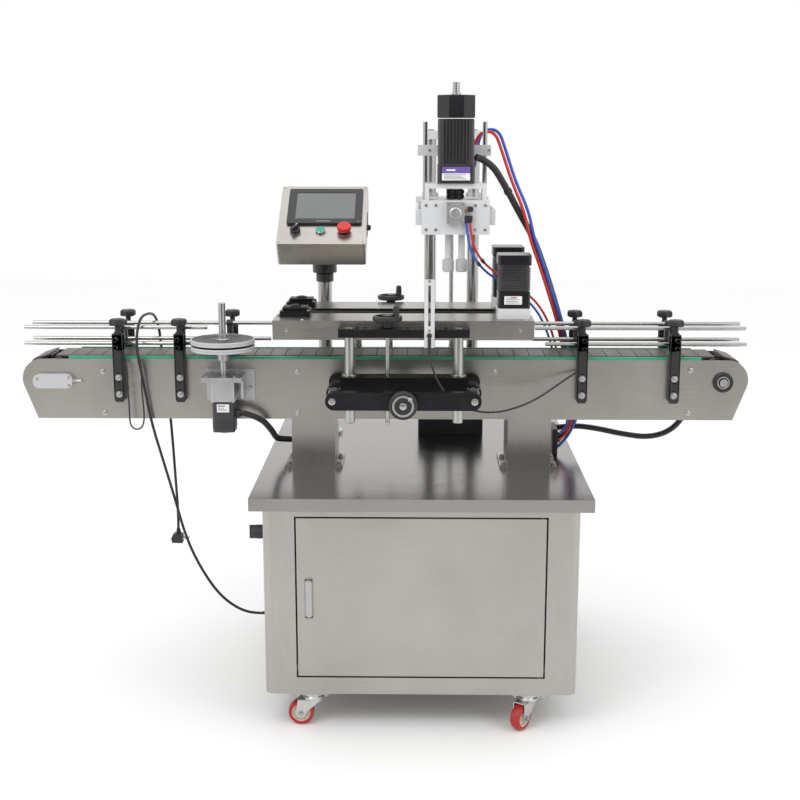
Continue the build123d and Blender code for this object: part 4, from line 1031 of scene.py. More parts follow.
    def table_screws(self) -> None:
        """Low washers where the cabinet sheets are fixed, and door bump stops."""
        frame = Extent.of("cabinet_frame")
        door = Extent.of("door")
        stops = Shape(JACKET)
        for z in (door.z0 + 30, door.z1 - 30):
            stops.rod(Axis.Y, (door.x0 + 14, door.y1 - 3, z), 5, 3)
        stops.build("door_stops", "door")
        rivets = Shape(SCREW_STEEL)
        for z in (frame.z0 + 70, frame.middle.z, frame.z1 - 70):
            for y in (frame.y0 + 100, frame.y1 - 100):
                for x, side in ((frame.x0 + 1, -1), (frame.x1 - 1, 1)):
                    rivets.turned(Axis.X, (x, y, z), [(self.screw, 0), (self.screw * 0.8, side * 1.0),
                            (self.screw * 0.3, side * 1.6)], 0, 16)
        for x in (frame.x0 + 110, frame.middle.x, frame.x1 - 110):
            for z in (frame.z0 + 70, frame.z1 - 70):
                rivets.turned(Axis.Y, (x, frame.y1 - 1, z), [(self.screw, 0), (self.screw * 0.8, 1.0),
                        (self.screw * 0.3, 1.6)], 0, 16)
        rivets.build("sheet_rivets")

    def build(self) -> None:
        """Make and dress the cabinet."""
        self.shell()
        self.handle()
        self.gasket()
        self.switch()
        self.equipment()
        self.table_screws()


@dataclass
class Castor:
    """One swivel castor with a red tyre on a cream hub."""

    spot: str
    heading: float
    pivot: Pair
    trail: float = 30.0
    wheel: float = 31.5
    wide: float = 24.0

    def build(self) -> None:
        """Make the swivel head, fork, axle and wheel."""
        place = Matrix.Translation((*self.pivot, 0)) @ Matrix.Rotation(math.radians(self.heading), 4, "Z")
        half = self.wide / 2 + 2.5
        fork = Shape(ZINC, place)
        fork.turned(Axis.Z, (0, 0, 66), [(20, 0), (26, 3), (26, 8), (23, 12), (23, 15), (27, 17), (27, 20.5)],
                0.6, 40)
        fork.box(-21, 37, -half - 3, half + 3, 65, 68.2, 1.2)
        cheek = [(-20, 68), (37, 68), (self.trail + 12, self.wheel + 3), (self.trail + 9, self.wheel - 8),
                (self.trail, self.wheel - 11), (self.trail - 9, self.wheel - 8),
                (self.trail - 12, self.wheel + 2)]
        for y in (-half - 3, half):
            fork.prism(Axis.Y, y, 3.0, cheek, bevel=1.0)
        for side in (-1, 1):
            fork.use(SCREW_STEEL).hex_bolt(Axis.Y, (self.trail, side * (half + 3), self.wheel), 11, side * 5)
        fork.rod(Axis.Y, (self.trail, -half, self.wheel), 3.9, 2 * half)
        fork.build(f"{self.spot}_castor_head", f"{self.spot}_caster", [f"{self.spot}_caster_fork"], "zinc")
        r, w = self.wheel, self.wide / 2
        tyre = Shape(TYRE, place)
        base = (self.trail, 0, self.wheel)
        tyre.turned(Axis.Y, base, [(r - 9, -w), (r - 3, -w), (r - 0.8, -w + 3), (r, -w + 7), (r, w - 7),
                (r - 0.8, w - 3), (r - 3, w), (r - 9, w), (r - 9, -w)], 0, 56)
        tyre.use(HUB).turned(Axis.Y, base, [(r - 9, -w + 1), (r - 9, w - 1), (r - 12, w - 1.5),
                (r - 14, w - 5), (12, w - 5), (10.5, w - 0.5), (8, w), (8, -w), (10.5, -w + 0.5),
                (12, -w + 5), (r - 14, -w + 5), (r - 12, -w + 1.5), (r - 9, -w + 1)], 0, 56)
        tyre.use(SCREW_STEEL).ring(Axis.Y, (self.trail, -w, self.wheel), 8, 4.2, 2 * w, 0.4, 28)
        tyre.build(f"{self.spot}_castor_wheel", f"{self.spot}_wheel", [f"{self.spot}_caster_wheel"],
                "caster_tyre")


@dataclass
class Castors:
    """The four castors and their top plates' bolts."""

    headings: dict[str, float] = field(default_factory=lambda: {"front_left": 180.0, "front_right": 233.0,
            "rear_left": 160.0, "rear_right": 200.0})
    inset: Pair = (260.0, 358.0)
    middle: float = 93.0

    def build(self) -> None:
        """Make the castors and the bolts that hold their plates."""
        bolts = Shape(SCREW_STEEL)
        for spot, heading in self.headings.items():
            face, end = spot.split("_")
            pivot = (self.middle + (self.inset[0] if end == "right" else -self.inset[0]), self.inset[1]
                    if face == "rear" else -self.inset[1])
            Castor(spot, heading, pivot).build()
            for sx in (-1, 1):
                for sy in (-1, 1):
                    bolts.hex_bolt(Axis.Z, (pivot[0] + sx * 33, pivot[1] + sy * 24, 87), 9, -5)
        bolts.build("castor_plate_bolts")


# ---------------------------------------------------------------- conveyor
@dataclass
class Conveyor:
    """Slat conveyor: chain, side plates, bearings, take-up, drive and legs."""

    middle: float = -64.0
    wide: float = 142.0
    slat_wide: float = 101.6
    pitch: float = 38.1
    sprocket_x: float = 838.0
    top: float = 868.0
    chain_radius: float = 62.0
    slat_thick: float = 4.2

    @property
    def front(self) -> float:
        """Y of the front plate's outer face."""
        return self.middle - self.wide / 2

    @property
    def rear(self) -> float:
        """Y of the rear plate's outer face."""
        return self.middle + self.wide / 2

    @property
    def shaft_z(self) -> float:
        """Height of the end shafts."""
        return self.top - self.chain_radius

    def slat(self, chain: Shape, x: float, z: float, turn: float) -> None:
        """Add one slat with its hinge barrels.

        Args:
            chain: Piece to add to.
            x: Middle of the slat along the conveyor.
            z: Height of its carrying face.
            turn: Angle of its face from level, in degrees.
        """
        y0 = self.middle - self.slat_wide / 2
        face = Shape(CHAIN)
        gap, half = 0.7, self.pitch / 2
        face.box(-half + gap, half - gap, y0, y0 + self.slat_wide, -self.slat_thick, 0, 0.9)
        face.use(CHAIN_PIN)
        for index in range(5):
            y = y0 + 26 + index * 11
            face.rod(Axis.Y, (half if index % 2 else -half, y, -self.slat_thick - 3.4), 4.2, 8.5, 0.6, 12)
        face.box(-half + 6, half - 6, self.middle - 24, self.middle + 24, -self.slat_thick - 6,
                -self.slat_thick, 0.8)
        face.use(SCREW_STEEL).rod(Axis.Y, (half, self.middle - 27, -self.slat_thick - 3.4), 2.4, 54, 0.3, 10)
        face.mesh.transform(Matrix.Translation((x, 0, z)) @ Matrix.Rotation(math.radians(turn), 4, "Y"))
        for finish in face.finishes:
            chain.use(finish)
        numbers = [chain.finishes.index(finish) for finish in face.finishes]
        for polygon in face.mesh.faces:
            polygon.material_index = numbers[polygon.material_index]
        gathered = bpy.data.meshes.new("slat")
        face.mesh.to_mesh(gathered)
        face.mesh.free()
        chain.mesh.from_mesh(gathered)
        bpy.data.meshes.remove(gathered)

    def chain(self) -> None:
        """Chain of slats all the way round both sprockets."""
        chain = Shape(CHAIN)
        straight = int(2 * self.sprocket_x / self.pitch)
        first = -(straight - 1) * self.pitch / 2
        turns = 5
        for index in range(straight):
            self.slat(chain, first + index * self.pitch, self.top, 0)
            self.slat(chain, first + index * self.pitch, self.top - 2 * self.chain_radius, 180)
        for side in (-1, 1):
            for index in range(turns):
                angle = math.pi * (index + 0.5) / turns
                self.slat(chain, side * (self.sprocket_x + (self.chain_radius - 0.6) * math.sin(angle)),
                        self.shaft_z + (self.chain_radius - 0.6) * math.cos(angle),
                        side * math.degrees(angle))
        chain.build("slats", "root", ["slat_chain"], "chain_plastic")

    def plates(self) -> None:
        """Dress the side plates, legs, strips and shafts."""
        dress("conveyor_frame", STEEL)
        dress("conveyor_legs", STEEL_UPRIGHT, [(Extent(-1e6, 1e6, -1e6, 1e6, 0, 591), STEEL)])
        dress("wear_strips", GREEN_STRIP)
        for name in ("drive_shaft", "idler_shaft"):
            box = Extent.of(name)
            inner = Extent(box.x0, box.x1, self.middle - 43, self.middle + 43, box.z0, box.z1)
            dress(name, POLISHED, [(inner, CHAIN_PIN)])
        ends = Shape(BLACK_PLASTIC)
        strips = Extent.of("wear_strips")
        for x in (strips.x0 - 1.5, strips.x1 - 1.5):
            for y in (self.front, self.rear - 8):
                ends.box(x, x + 3, y, y + 8, strips.z0 - 0.4, strips.z1, 0.8)
        ends.build("strip_ends")

    def bearing(self, piece: Shape, x: float, y: float, side: int) -> None:
        """Flange bearing: dark housing and a steel race ring.

        Args:
            piece: Piece to add to.
            x: Place along the conveyor.
            y: Face that it stands on.
            side: -1 to the front, 1 to the rear.
        """
        z = self.shaft_z
        piece.use(BLACK_PLASTIC).turned(Axis.Y, (x, y, z), [(25, 0), (25, side * 5), (22, side * 8),
                (18.5, side * 8), (17.5, side * 6), (10.2, side * 6), (10.2, 0), (25, 0)], 0.3, 48)
        piece.use(SCREW_STEEL).turned(Axis.Y, (x, y, z), [(15.5, side * 5.5), (15.5, side * 7.2),
                (12.6, side * 7.2), (12.6, side * 5.5), (15.5, side * 5.5)], 0.2, 40)

    def fittings(self) -> None:
        """Bolts, bearings, take-up plates, foot bolts and cable entries."""
        ties = [(-699, 829), (-699, 724), (-214, 830), (-214, 725), (272.5, 832), (273, 727), (757, 836),
                (755, 728)]
        piece = Shape(SCREW_STEEL)
        for x, z in ties:
            for y, side in ((self.front, -1), (self.rear, 1)):
                piece.use(POLISHED).turned(Axis.Y, (x, y, z), [(7.5, 0), (7.5, side * 1.2)], 0.2, 24)
                piece.turned(Axis.Y, (x, y, z), [(6.2, side * 1.2), (5.6, side * 3.2), (3.4, side * 4),
                        (2.9, side * 4), (2.6, side * 2.2)], 0, 24)
        for y, side in ((self.front, -1), (self.rear, 1)):
            self.bearing(piece, self.sprocket_x, y, side)
        shaft = Extent.of("idler_shaft")
        left, right = -self.sprocket_x - 34, -773
        for face, far, side in ((self.front, shaft.y0 - 1.5, -1), (self.rear, shaft.y1 + 1.5, 1)):
            piece.use(TAKE_UP_GREY).prism(Axis.Y, face, far - face, rounded(left, right, 788, 824, 16),
                    bevel=1.2)
            for sx, sz in ((left + 12, 812), (right - 9, 816), (right - 9, 796)):
                piece.use(SCREW_STEEL).turned(Axis.Y, (sx, far, sz), [(3.6, 0), (3.2, side * 1.4),
                        (1.5, side * 1.8)], 0, 20)
            piece.use(SCREW_STEEL).turned(Axis.X, (right, face + side * 4, self.shaft_z),
                    [(4, 0), (4, 20), (3, 22)], 0.3, 16)
            piece.turned(Axis.X, (right + 3, face + side * 4, self.shaft_z), [(6.4, 0), (6.4, 5)], 0.5, 6)
        legs = Extent.of("conveyor_legs")
        for x in (legs.x0 + 9, legs.x0 + 135, legs.x1 - 135, legs.x1 - 9):
            for y in (-128, -52):
                piece.use(SCREW_STEEL).hex_bolt(Axis.Z, (x, y, 590), 13, 7.5)
                piece.rod(Axis.Z, (x, y, 597), 3.6, 4, 0.4, 12)
        piece.use(BLACK_PLASTIC).box(436, 450, 6, 92, 584, 652, 2.0)
        for y, z, r in ((78, 640, 8.5), (50, 618, 9.5), (30, 612, 5), (20, 603, 5), (12, 622, 4),
                (10, 638, 4)):
            piece.use(BLACK_PLASTIC).ring(Axis.X, (450, y, z), r + 1.6, r - 0.4, 2.4, 0.4, 20)
        piece.prism(Axis.X, -190, 24, rounded(46, 70, 584, 622, 6), bevel=1.5)
        piece.turned(Axis.X, (-179, 58, 610), [(12.5, 0), (12.5, -10), (10.5, -12.5), (8.2, -12.5), (8.2, 0),
                (12.5, 0)], 0.4, 24)
        gland = (Extent.of("cabinet_frame").x0, -100.0, 182.0)
        piece.turned(Axis.X, gland, [(10.5, 0), (10.5, -3.5), (8.5, -3.6), (8.2, -9), (6.6, -12), (4.6, -38),
                (3.7, -40), (3.6, 0)], 0.3, 12)
        piece.build("conveyor_fasteners", "root", ["conveyor_fittings"], "zinc")

    def drive(self) -> None:
        """Gearmotor behind the discharge end: gearbox, finned motor, fan cover and terminal box."""
        box = Extent.of("conveyor_drive_motor")
        motor_y, motor_z = self.rear + 63, self.shaft_z - 8
        y0, y1 = self.rear + 12.3, box.y1
        gear_x0 = self.sprocket_x - 45
        piece = Shape(ALUMINIUM)
        piece.prism(Axis.Y, y0, y1 - y0, rounded(gear_x0, box.x1, self.shaft_z - 45, self.shaft_z + 35, 9),
                bevel=2)
        for sx in (-1, 1):
            for z in (-32, 22):
                piece.use(SCREW_STEEL).rod(Axis.Y, (self.sprocket_x + sx * 34, self.rear, self.shaft_z + z),
                        5, 13.5)
                piece.cap_screw(Axis.Y, (self.sprocket_x + sx * 34, y1, self.shaft_z + z), 4.5, 1.0)
        piece.use(MOTOR_BLACK).turned(Axis.X, (box.x0, motor_y, motor_z), [(28, 0), (32, 3), (32, 26)], 1.0,
                48)
        piece.use(MOTOR_BLACK).rod(Axis.X, (box.x0 + 26, motor_y, motor_z), 29, gear_x0 - box.x0 - 25, 0.5,
                48)
        for index in range(24):
            angle = 2 * math.pi * index / 24
            fin = Matrix.Translation((0, motor_y, motor_z)) @ Matrix.Rotation(angle, 4, "X")
            ridge = Shape(MOTOR_BLACK)
            ridge.box(box.x0 + 28, gear_x0 - 6, 28, 33.6, -1.1, 1.1, 0.4)
            ridge.mesh.transform(fin)
            gathered = bpy.data.meshes.new("ridge")
            ridge.mesh.to_mesh(gathered)
            ridge.mesh.free()
            for polygon in gathered.polygons:
                polygon.material_index = piece.index
            piece.mesh.from_mesh(gathered)
            bpy.data.meshes.remove(gathered)
        piece.use(MOTOR_BLACK).box(box.x0 + 60, box.x0 + 108, motor_y + 12, motor_y + 34, motor_z - 24,
                motor_z + 22, 2)
        piece.use(LABEL_WHITE).box(box.x0 + 66, box.x0 + 102, motor_y + 33.6, motor_y + 34.4, motor_z - 12,
                motor_z + 12, 0.2)
        piece.build("drive_gearmotor", "root", ["conveyor_drive_motor"], "black_paint")

    def build(self) -> None:
        """Make and dress the conveyor."""
        self.chain()
        self.plates()
        self.fittings()
        self.drive()


@dataclass
class GuideRails:
    """Side rails on tapered black brackets with star knobs."""

    front_x: Sequence[float] = (-655.0, -503.0, 488.0, 714.0)
    rear_x: Sequence[float] = (-665.0, -395.0, 487.0, 717.0)
    front_y: float = -105.0
    rear_y: float = -28.0
    rail: float = 5.0
    low: float = 896.0
    high: float = 936.0
    bracket_low: float = 756.0
    bracket_high: float = 926.0
    depth: float = 22.0

    def bracket(self, piece: Shape, x: float, face: float, sign: int) -> None:
        """One bracket: tapered plate with slots, clamp head, star knob and bolts.

        Args:
            piece: Piece to add to.
            x: Place along the conveyor.
            face: Y of the side plate that it is bolted to.
            sign: -1 to the front, 1 to the rear.
        """
        y_out = face + sign * self.depth
        y0, y1 = min(face, y_out), max(face, y_out)
        piece.use(BLACK_PLASTIC)
        shape = [(x - 9, self.bracket_low), (x + 9, self.bracket_low), (x + 13, self.bracket_low + 6),
                (x + 12, 858), (x + 13, 888), (x + 11, self.bracket_high), (x - 11, self.bracket_high),
                (x - 13, 888), (x - 12, 858), (x - 13, self.bracket_low + 6)]
        slots = [slot_outline(x - 4, x + 4, 768, 788), slot_outline(x - 4, x + 4, 806, 830)]
        plate_y = y0 if sign < 0 else y1 - 8
        piece.prism(Axis.Y, plate_y, 8, shape, slots, 1.0)
        ribs = (x - 13, x + 9)
        for rib in ribs:
            piece.prism(Axis.X, rib, 4, [(face, self.bracket_low + 4), (y_out, self.bracket_low + 14),
                    (y_out, 900), (y_out, self.bracket_high), (face, self.bracket_high)], bevel=0.8)
        piece.box(x - 13, x + 13, y0, y1, 884, self.bracket_high, 2.0)
        middle = (y0 + y1) / 2
        piece.turned(Axis.Z, (x, middle, self.bracket_high), [(9, 0), (9, 4), (6.5, 6), (6.5, 20)], 0.5, 24)
        piece.turned(Axis.Z, (x, middle, self.bracket_high + 20), [(14, 0), (20.5, 2.5), (20.5, 13), (17, 17),
                (8, 18)], 0.6, 60, lobes(6, 0.20))
        for z in (818, 776):
            out = y_out
            piece.use(SCREW_STEEL).turned(Axis.Y, (x, out - sign * 1.0, z), [(8.5, 0), (8.5, sign * 1.6)],
                    0.2, 24)
            piece.turned(Axis.Y, (x, out + sign * 0.6, z), [(6.3, 0), (5.6, sign * 3.2), (3.2, sign * 4),
                    (2.6, sign * 2)], 0, 24)
            piece.rod(Axis.Y, (x, min(face, out), z), 3.6, self.depth)
            piece.use(BLACK_PLASTIC)

    def rails(self, name: str, body: str, spots: Sequence[float], y: float, sign: int, face: float,
            spans: Sequence[tuple[float, float, float]]) -> None:
        """Two rails with their cross rods and clamp blocks.

        Args:
            name: CAD node that the piece stands for.
            body: Body that carries it.
            spots: Places of the brackets.
            y: Y of the rails.
            sign: -1 for the front pair, 1 for the rear pair.
            face: Y of the side plate's outer face.
            spans: (start, end, height) of each rail.
        """
        piece = Shape(POLISHED)
        for x0, x1, z in spans:
            piece.rod(Axis.X, (x0, y, z), self.rail, x1 - x0, 0.8, 24)
        far = face + sign * (self.depth + 26)
        for x in spots:
            for z in (self.low, self.high - 20):
                piece.use(POLISHED).rod(Axis.Y, (x, min(y, far), z), 5, abs(far - y), 0.8, 20)
                tip = far - 3 if sign > 0 else far
                piece.use(BLACK_PLASTIC).rod(Axis.Y, (x, tip, z), 5.4, 3, 0.6, 20)
            piece.use(BLACK_PLASTIC)
            for z in (self.low, self.high):
                piece.rod(Axis.X, (x - 8, y, z), 8.6, 16, 1.0, 28)
            piece.box(x - 7.5, x + 7.5, y - 6.5, y + 6.5, self.low, self.high, 1.5)
            for z in (self.low, self.high):
                piece.use(SCREW_STEEL).cap_screw(Axis.Y, (x, y - sign * -7, z), 2.6, sign * 1.6)
                piece.use(BLACK_PLASTIC)
        piece.build(name.replace("guide_rails_", "rails_"), body, [name], "polished_steel")

    def build(self) -> None:
        """Make the brackets and both pairs of rails."""
        plates = Extent.of("conveyor_frame")
        piece = Shape(BLACK_PLASTIC)
        for x in self.front_x:
            self.bracket(piece, x, plates.y0, -1)
        for x in self.rear_x:
            self.bracket(piece, x, plates.y1, 1)
        piece.build("brackets", "root", ["rail_brackets"], "black_plastic")
        self.rails("guide_rails_front", "front_rails", self.front_x, self.front_y, -1, plates.y0,
                [(-897, -440, self.high), (-899, -480, self.low), (374, 895, self.high),
                (400, 899, self.low)])
        self.rails("guide_rails_rear", "rear_rails", self.rear_x, self.rear_y, 1, plates.y1,
                [(-899, -277, self.high), (-899, -290, self.low), (380, 899, self.high),
                (374, 899, self.low)])


# ---------------------------------------------------------------- spacing disc
@dataclass
class SpacingDisc:
    """Two slotted discs on a motor beside the infeed."""

    axis: Pair = (-391.0, -180.0)
    radius: float = 78.0
    levels: Sequence[float] = (893.0, 909.0)
    thick: float = 11.0

    def build(self) -> None:
        """Make the discs, shaft, bracket screws and motor."""
        x, y = self.axis
        box = Extent.of("spacing_disc")
        piece = Shape(GREY_DISC)
        for z in self.levels:
            r = self.radius
            piece.use(GREY_DISC).turned(Axis.Z, (x, y, z), [(16, 0.4), (r - 3, 0.4),
                    (r - 3, self.thick - 0.4), (r - 30, self.thick - 0.4), (r - 31, self.thick - 1.6),
                    (16, self.thick - 1.6), (16, 0.4)], 0, 72)
            piece.use(PALE_GREY).turned(Axis.Z, (x, y, z), [(r - 3.2, 0), (r - 0.8, 0), (r, 1.2), (r, 3.6),
                    (r - 1.6, 4.6), (r - 1.6, 6.4), (r, 7.4), (r, 9.8), (r - 0.8, 11), (r - 3.2, 11),
                    (r - 3.2, 0)], 0, 96)
        piece.use(ALUMINIUM).turned(Axis.Z, (x, y, 893), [(30, 0), (30, 1), (16, 1), (16, 26), (13, 28),
                (13, 39), (9, 39)], 0.6, 40)
        for k in range(4):
            angle = math.pi * (k + 0.5) / 2
            piece.use(SCREW_STEEL).cap_screw(Axis.Z, (x + 23 * math.cos(angle), y + 23 * math.sin(angle),
                    918.4), 3.2, 2.4)
        piece.use(ALUMINIUM).turned(Axis.Z, (x, y, 866), [(10, 0), (15, 1.5), (15, 27)], 0.6, 32)
        piece.use(POLISHED).turned(Axis.Z, (x, y, box.z0), [(8.5, 0), (8.5, box.z1 - box.z0 - 1.5),
                (7, box.z1 - box.z0)], 0.2, 32)
        piece.build("spacing_discs", "spacing_disc", ["spacing_disc"], "grey_disc")
        dress("disc_bracket", ANODISED)
        screws = Shape(SCREW_STEEL)
        plate = Extent.of("disc_bracket")
        for sx in (plate.x0 + 12, plate.x1 - 40):
            for sy in (plate.y0 + 12, plate.y0 + 66):
                screws.cap_screw(Axis.Z, (sx, sy, 831), 4.2, 3.0)
        for sx in (plate.x0 + 14, plate.x1 - 12):
            screws.hex_bolt(Axis.Y, (sx, -140, 790), 10, -5)
        screws.build("disc_bracket_screws")
        self.motor()

    def motor(self) -> None:
        """Gearhead, finned body, label and lead outlet."""
        x, y = self.axis
        box = Extent.of("disc_motor")
        piece = Shape(ANODISED)
        piece.prism(Axis.Z, 768, 51, rounded(x - 30, x + 30, y - 30, y + 30, 5), bevel=1.2)
        piece.corner_screws((x, y), (24, 24), 768, 3, -2.2)
        piece.use(MOTOR_BLACK).prism(Axis.Z, box.z0 + 3, 77, rounded(x - 27, x + 27, y - 27, y + 27, 8),
                bevel=1.5)
        piece.turned(Axis.Z, (x, y, box.z0), [(18, 0), (23, 3.2)], 0.4, 40)
        for index in range(6):
            z = box.z0 + 12 + index * 4.2
            piece.prism(Axis.Z, z, 1.6, rounded(x - 28, x + 28, y - 28, y + 28, 9), bevel=0.4)
        piece.use(LABEL_WHITE).box(x - 15, x + 15, y - 27.5, y - 26.8, 742, 762, 0.1)
        piece.use(LABEL_GREY).box(x - 12, x + 6, y - 27.8, y - 27.4, 756, 759, 0.05)
        for row in range(3):
            piece.box(x - 12, x + 11 - 4 * row, y - 27.8, y - 27.4, 746 + row * 3, 747 + row * 3, 0.02)
        piece.use(BLACK_PLASTIC).turned(Axis.X, (x + 26, y, 735), [(11, 0), (11, 9), (9.8, 12), (8.4, 15)],
                0.4, 28)
        piece.build("disc_gearmotor", "root", ["disc_motor"], "black_paint")


# ---------------------------------------------------------------- belt clamps
class Side(Enum):
    """Front or rear member of a mirrored pair."""

    FRONT = ("front", -1)
    REAR = ("rear", 1)

    @property
    def label(self) -> str:
        """Name used by the CAD nodes."""
        return self.value[0]

    @property
    def sign(self) -> int:
        """Direction away from the conveyor."""
        return self.value[1]


@dataclass
class BeltClamp:
    """One side's carriage, lift frame, belt, cover, motor and hand wheel."""

    side: Side
    middle: float = -64.0
    centre_x: float = 51.0
    rod_z: float = 806.0
    rod_spread: float = 164.0
    lift_spread: float = 129.0
    offset: float = 194.0
    motor_x: float = 314.0
    pulley_x: float = -215.0
    pulley_offset: float = 82.0
    pulley: float = 38.0

    def across(self, distance: float) -> float:
        """Y at a distance from the conveyor's middle on this side."""
        return self.middle + self.side.sign * distance

    def slide(self) -> None:
        """Sliding block with its rod housings, lift rings and screws."""
        name = f"{self.side.label}_slide"
        dress(f"{name}_block", BLACK_ANODISED)
        box = Extent.of(f"{name}_block")
        piece = Shape(POLISHED)
        outer = box.y0 if self.side.sign < 0 else box.y1
        out = self.side.sign
        for x in (self.centre_x - self.rod_spread, self.centre_x + self.rod_spread):
            piece.use(POLISHED).turned(Axis.Y, (x, outer, self.rod_z),
                    [(15, 0), (15, out * 1.6), (11.8, out * 1.6), (11.8, 0), (15, 0)], 0.2, 32)
            for k in range(4):
                angle = math.pi * (k + 0.5) / 2
                piece.use(SCREW_STEEL).cap_screw(Axis.Y, (x + 17.5 * math.cos(angle), outer,
                        self.rod_z + 17.5 * math.sin(angle)), 1.8, out * 1.2)
        for x in (self.centre_x - self.lift_spread, self.centre_x + self.lift_spread):
            piece.use(POLISHED).ring(Axis.Z, (x, self.across(self.offset), box.z1 - 4), 19, 12.6, 8, 0.8, 40)
        for x in (-60, -20, 60, 110):
            piece.use(DARK_STEEL).cap_screw(Axis.Y, (x + 20, outer, 829), 3.4, out * 2.2)
        piece.build(f"{name}_trim", name)

    def lift(self) -> None:
        """Lift frame: polished rods, dark bar, screws and the sensor strip."""
        name = f"{self.side.label}_lift"
        regions = [(above(937.0), BLACK_ANODISED)]
        if self.side is Side.FRONT:
            regions.append((Extent(98.9, 123.1, -280, -275.9, 900, 1100), WHITE))
        dress(f"{name}_frame", POLISHED, regions)
        piece = Shape(POLISHED)
        y = self.across(self.offset)
        for x in (self.centre_x - self.lift_spread, self.centre_x + self.lift_spread):
            piece.use(POLISHED).turned(Axis.Z, (x, y, 958), [(11, 0), (11, 1.4), (4, 1.6)], 0.2, 32)
            piece.turned(Axis.Z, (x, y, 731), [(10, -1.5), (12.2, 0.5)], 0, 32)
        for x in (-60, -40, 60, 150):
            piece.use(DARK_STEEL).cap_screw(Axis.Z, (x, y, 958), 3.4, 2.6)
        piece.build(f"{name}_trim", name)
        if self.side is Side.FRONT:
            face = Extent.of("front_lift_frame").y0
            eye = Shape(BLACK_PLASTIC)
            eye.turned(Axis.Y, (111, face + 3, 944), [(6, 0), (6, -8), (4.5, -10)], 0.4, 24)
            eye.turned(Axis.Z, (111, face + 1, 917), [(3.4, -3), (4.2, 0), (4.2, 20)], 0.4, 18)
            eye.use(SCREW_STEEL).turned(Axis.Y, (111, face, 1072), [(3, 0), (3, -2)], 0.3, 6)
            eye.turned(Axis.Y, (111, face, 956), [(3, 0), (3, -2)], 0.3, 6)
            eye.build("bottle_sensor", name)

    def belt(self) -> None:
        """Belt loop with its pulleys and tension block."""
        name = f"{self.side.label}_grip_belt"
        box = Extent.of(name)
        y, high = self.across(self.pulley_offset), 966.0
        low = box.z0
        half = (self.motor_x - self.pulley_x) / 2
        middle = (self.motor_x + self.pulley_x) / 2
        piece = Shape(BELT)
        loop = []
        for side, centre in ((1, self.motor_x), (-1, self.pulley_x)):
            for k in range(19):
                angle = -math.pi / 2 + math.pi * k / 18
                loop.append((centre + side * math.cos(angle) * 42, y + side * math.sin(angle) * 42))
        inner = [(middle + (u - middle) * (half + 38) / (half + 42), y + (v - y) * 38 / 42) for u, v in loop]
        piece.prism(Axis.Z, low, high - low, loop, [inner], 0.8)
        for x in (self.motor_x, self.pulley_x):
            bore = 7.1 if x == self.motor_x else 0.0
            piece.use(ANODISED)
            for z in (low + 0.5, high - 4.5):
                if bore:
                    piece.ring(Axis.Z, (x, y, z), self.pulley - 0.2, bore, 4, 0.5, 56)
                else:
                    piece.rod(Axis.Z, (x, y, z), self.pulley - 0.2, 4, 0.5, 56)
            profile = [(self.pulley - 3, low + 4.5), (self.pulley - 3, high - 4.5), (bore or 7, high - 4.5),
                    (bore or 7, low + 4.5), (self.pulley - 3, low + 4.5)]
            piece.turned(Axis.Z, (x, y, 0), profile, 0, 72, lobes(36, 0.05) if not bore else None)
        block = box.z1 - 27.5
        x0, x1 = self.pulley_x - 37, self.pulley_x + 37
        piece.use(POLISHED).rod(Axis.Z, (self.pulley_x, y, high), 7, block - high - 2)
        piece.use(BLACK_ANODISED).prism(Axis.Z, block, 14, rounded(x0, x1, y - 30, y + 30, 4), bevel=1.2)
        piece.prism(Axis.Z, block + 14, 9, rounded(x0 + 7, x1 - 7, y - 22, y + 22, 4), bevel=1.2)
        piece.turned(Axis.Z, (self.pulley_x, y, block + 23), [(14, 0), (13, 3), (7, 4.5)], 0.4, 6)
        piece.corner_screws((self.pulley_x, y), (32, 25), block + 14, 3.2, 2.6)
        piece.build(f"{self.side.label}_belt_loop", f"{self.side.label}_lift", [name], "belt_rubber")

    def cover(self) -> None:
        """Steel cover over the belt, with its screws and a small black pad."""
        name = f"{self.side.label}_belt_cover"
        dress(name, STEEL)
        box = Extent.of(name)
        piece = Shape(SCREW_STEEL)
        out = self.side.sign
        for x in (box.x0 + 70, box.x0 + 250, box.x1 - 190, box.x1 - 18):
            for y in (box.y0 + 12, box.y1 - 12):
                piece.turned(Axis.Z, (x, y, box.z1), [(4.4, 0), (3.6, 1.4), (1.8, 2.0), (1.6, 1.0)], 0, 18)
        face = box.y0 if out < 0 else box.y1
        for x in (box.x0 + 34, box.x1 - 34):
            piece.turned(Axis.Y, (x, face, box.middle.z), [(4.4, 0), (3.6, out * 1.4), (1.8, out * 2.0)], 0,
                    18)
        piece.use(BLACK_PLASTIC).box(box.x0 + 6, box.x0 + 16, self.across(60), self.across(100), box.z1,
                box.z1 + 1.4, 0.4)
        piece.build(f"{self.side.label}_cover_screws", f"{self.side.label}_lift")

